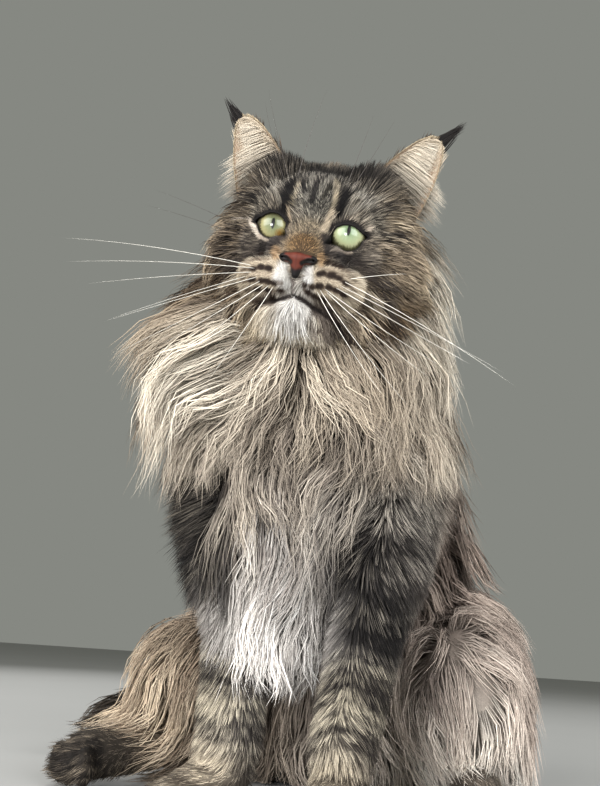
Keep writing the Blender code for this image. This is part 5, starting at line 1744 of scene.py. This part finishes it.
# Roots of the whiskers in the head's frame and their far ends in the cat's frame, in millimetres
WHISKERS = [
    ((-27, -30, -32), (-144, -270, 339)),
    ((-29, -29, -35), (-125, -270, 322)),
    ((-23, -31, -41), (-95, -279, 269)),
    ((-21, -31, -44), (-63, -279, 274)),
    ((-30, -27, -30), (-165, -250, 368)),
    ((-17, -31, -44), (-47, -279, 268)),
    ((-14, -31, -45), (-32, -279, 248)),
    ((-31, -24, -37), (-110, -262, 300)),
    ((-25, -30, -38), (-105, -279, 291)),
    ((29, -27, -33), (143, -260, 246)),
    ((27, -29, -36), (137, -279, 249)),
    ((15, -32, -42), (89, -279, 230)),
    ((13, -32, -44), (75, -279, 236)),
    ((20, -31, -43), (99, -279, 247)),
    ((31, -24, -31), (78, -240, 327)),
    ((25, -30, -38), (120, -279, 254)),
    ((30, -25, -39), (118, -255, 262)),
    ((18, -31, -40), (107, -279, 252)),
]
# How far to the front the whiskers may reach
WHISKER_FRONT = -0.2795
WHISKER_WIDTH = 0.00045
WHISKER_RINGS = 9
WHISKER_TINT = (228, 224, 214)
BROW_TINT = (70, 64, 60)
BROW_HAIRS = [
    ((-21, -4, 31), (-35, -210, 497)),
    ((-17, -5, 32), (14, -220, 483)),
    ((19, -4, 32), (48, -220, 458)),
    ((-23, -2, 28), (-41, -200, 495)),
    ((22, -3, 30), (60, -205, 462)),
    ((-58, 14, 6), (-124, -200, 429)),
    ((-56, 12, -2), (-131, -200, 417)),
]


def add_whiskers(rows, name, sag, colour):
    """Long tapered hairs from the face."""
    material, shader = new_material(f"{name}_surface", 0.35, 0.5)
    uneven = ranged(material, noise(material, 300.0), 0, 1, 0.85, 1.1)
    feed(shader.inputs["Base Color"], scaled(material, tuple(linear(colour)), uneven))
    roots, end = (np.array(places) / 1000 for places in zip(*rows))
    roots = roots - face.slope(roots) * (face.at(roots)[:, None] + 0.001)
    start = to_cat(roots)
    out = face.slope(roots) @ HEAD_TURN.T
    share = np.linspace(0, 1, WHISKER_RINGS + 1)[None, :, None]
    length = np.linalg.norm(end - start, axis=1)[:, None, None]
    bow = out[:, None] * length * sag * share * (1 - share)
    paths = start[:, None] + (end - start)[:, None] * share + bow
    paths[..., 1] = np.maximum(paths[..., 1], WHISKER_FRONT)
    count = len(rows)
    points = blade_points(paths, out, np.full(count, WHISKER_WIDTH), np.zeros(count), 0.85)
    made, _ = blade_mesh(name, points, blade_pattern(WHISKER_RINGS))
    dress(made, material, "whisker")


def add_camera():
    """The camera at the photo's place and angle."""
    azimuth, pitch, roll = (math.radians(angle) for angle in (CAMERA_AZIMUTH, CAMERA_PITCH, CAMERA_ROLL))
    level = Vector((math.cos(azimuth), math.sin(azimuth), 0))
    ahead = Vector((-math.sin(azimuth), math.cos(azimuth), 0))
    up = Vector((0, 0, 1))
    look = ahead * math.cos(pitch) + up * math.sin(pitch)
    above = up * math.cos(pitch) - ahead * math.sin(pitch)
    right = level * math.cos(roll) + above * math.sin(roll)
    top = above * math.cos(roll) - level * math.sin(roll)
    camera = bpy.data.objects.new("camera", bpy.data.cameras.new("camera"))
    camera.data.lens = FOCAL_PIXELS / PHOTO_HEIGHT * SENSOR
    camera.data.sensor_width = SENSOR
    camera.data.clip_start = 0.01
    turn = Matrix((right, top, -look)).transposed().to_4x4()
    camera.matrix_world = Matrix.Translation(CAMERA_PLACE) @ turn
    bpy.context.scene.collection.objects.link(camera)
    bpy.context.scene.camera = camera


def add_light(name, place, target, size, power, colour=(1, 1, 1)):
    """A square soft light that faces a target."""
    data = bpy.data.lights.new(name, "AREA")
    data.size = size
    data.energy = power
    data.color = colour
    lamp = bpy.data.objects.new(name, data)
    lamp.location = place
    lamp.rotation_euler = (Vector(target) - Vector(place)).to_track_quat("-Z", "Y").to_euler()
    bpy.context.scene.collection.objects.link(lamp)


FLOOR_TINTS = (158, 158, 156), (166, 166, 164)
ROOM_TINT = (134, 136, 130)
# Name, place, target, size, power and colour of each light
LIGHTS = [
    ("key", (-0.9, -1.7, 1.0), (0, -0.1, 0.25), 1.5, 52, (1.0, 0.99, 0.975)),
    ("fill", (1.4, -1.2, 0.8), (0, -0.1, 0.25), 1.3, 42, (0.98, 0.99, 1.0)),
    ("catch", (-0.02, -1.20, 0.30), (0, -0.20, 0.25), 0.22, 8.0),
    ("rim_left", (-1.3, 1.2, 1.2), (0, -0.1, 0.25), 0.9, 16),
    ("rim_right", (1.4, 1.1, 1.3), (0, -0.1, 0.25), 0.9, 16),
]


def add_studio():
    """A plain pale floor, a pale room and soft lights."""
    bpy.ops.mesh.primitive_plane_add(size=12, location=(0, 0, 0))
    floor = bpy.context.object
    floor.name = "floor"
    material, shader = new_material("floor_surface", 0.7, 0.2)
    tone = mixed(material, noise(material, 3.0), *(solid(tint) for tint in FLOOR_TINTS))
    feed(shader.inputs["Base Color"], tone)
    floor.data.materials.append(material)
    world = bpy.data.worlds.new("studio")
    bpy.context.scene.world = world
    world.use_nodes = True
    sky = world.node_tree.nodes["Background"]
    feed(sky.inputs["Color"], solid(ROOM_TINT))
    feed(sky.inputs["Strength"], 1.0)
    bpy.context.scene.view_settings.view_transform = "Standard"
    for light in LIGHTS:
        add_light(*light)


add_camera()
add_studio()
face = face_field()
body = body_field(SKIN_SHARE, 0)
whole = Whole(face, body)
LIPS = lip_places()
COAT = (whole, Whole(head_tips(), body_field(1, 1)))
nose_field = nose_shape()
skin_material = coat_material("skin_surface", 0.75, 0.6)
hair_material = coat_material("hair", 0.72)
head_surface, body_surface = add_skin(face, body, skin_material)
add_face_coat(head_surface, hair_material)
add_body_coat(body_surface, hair_material)
add_ears(hair_material, skin_material)
add_eyes()
add_nose(nose_field)
add_whiskers(WHISKERS, "whiskers", 0.12, WHISKER_TINT)
add_whiskers(BROW_HAIRS, "brow_hairs", 0.10, BROW_TINT)
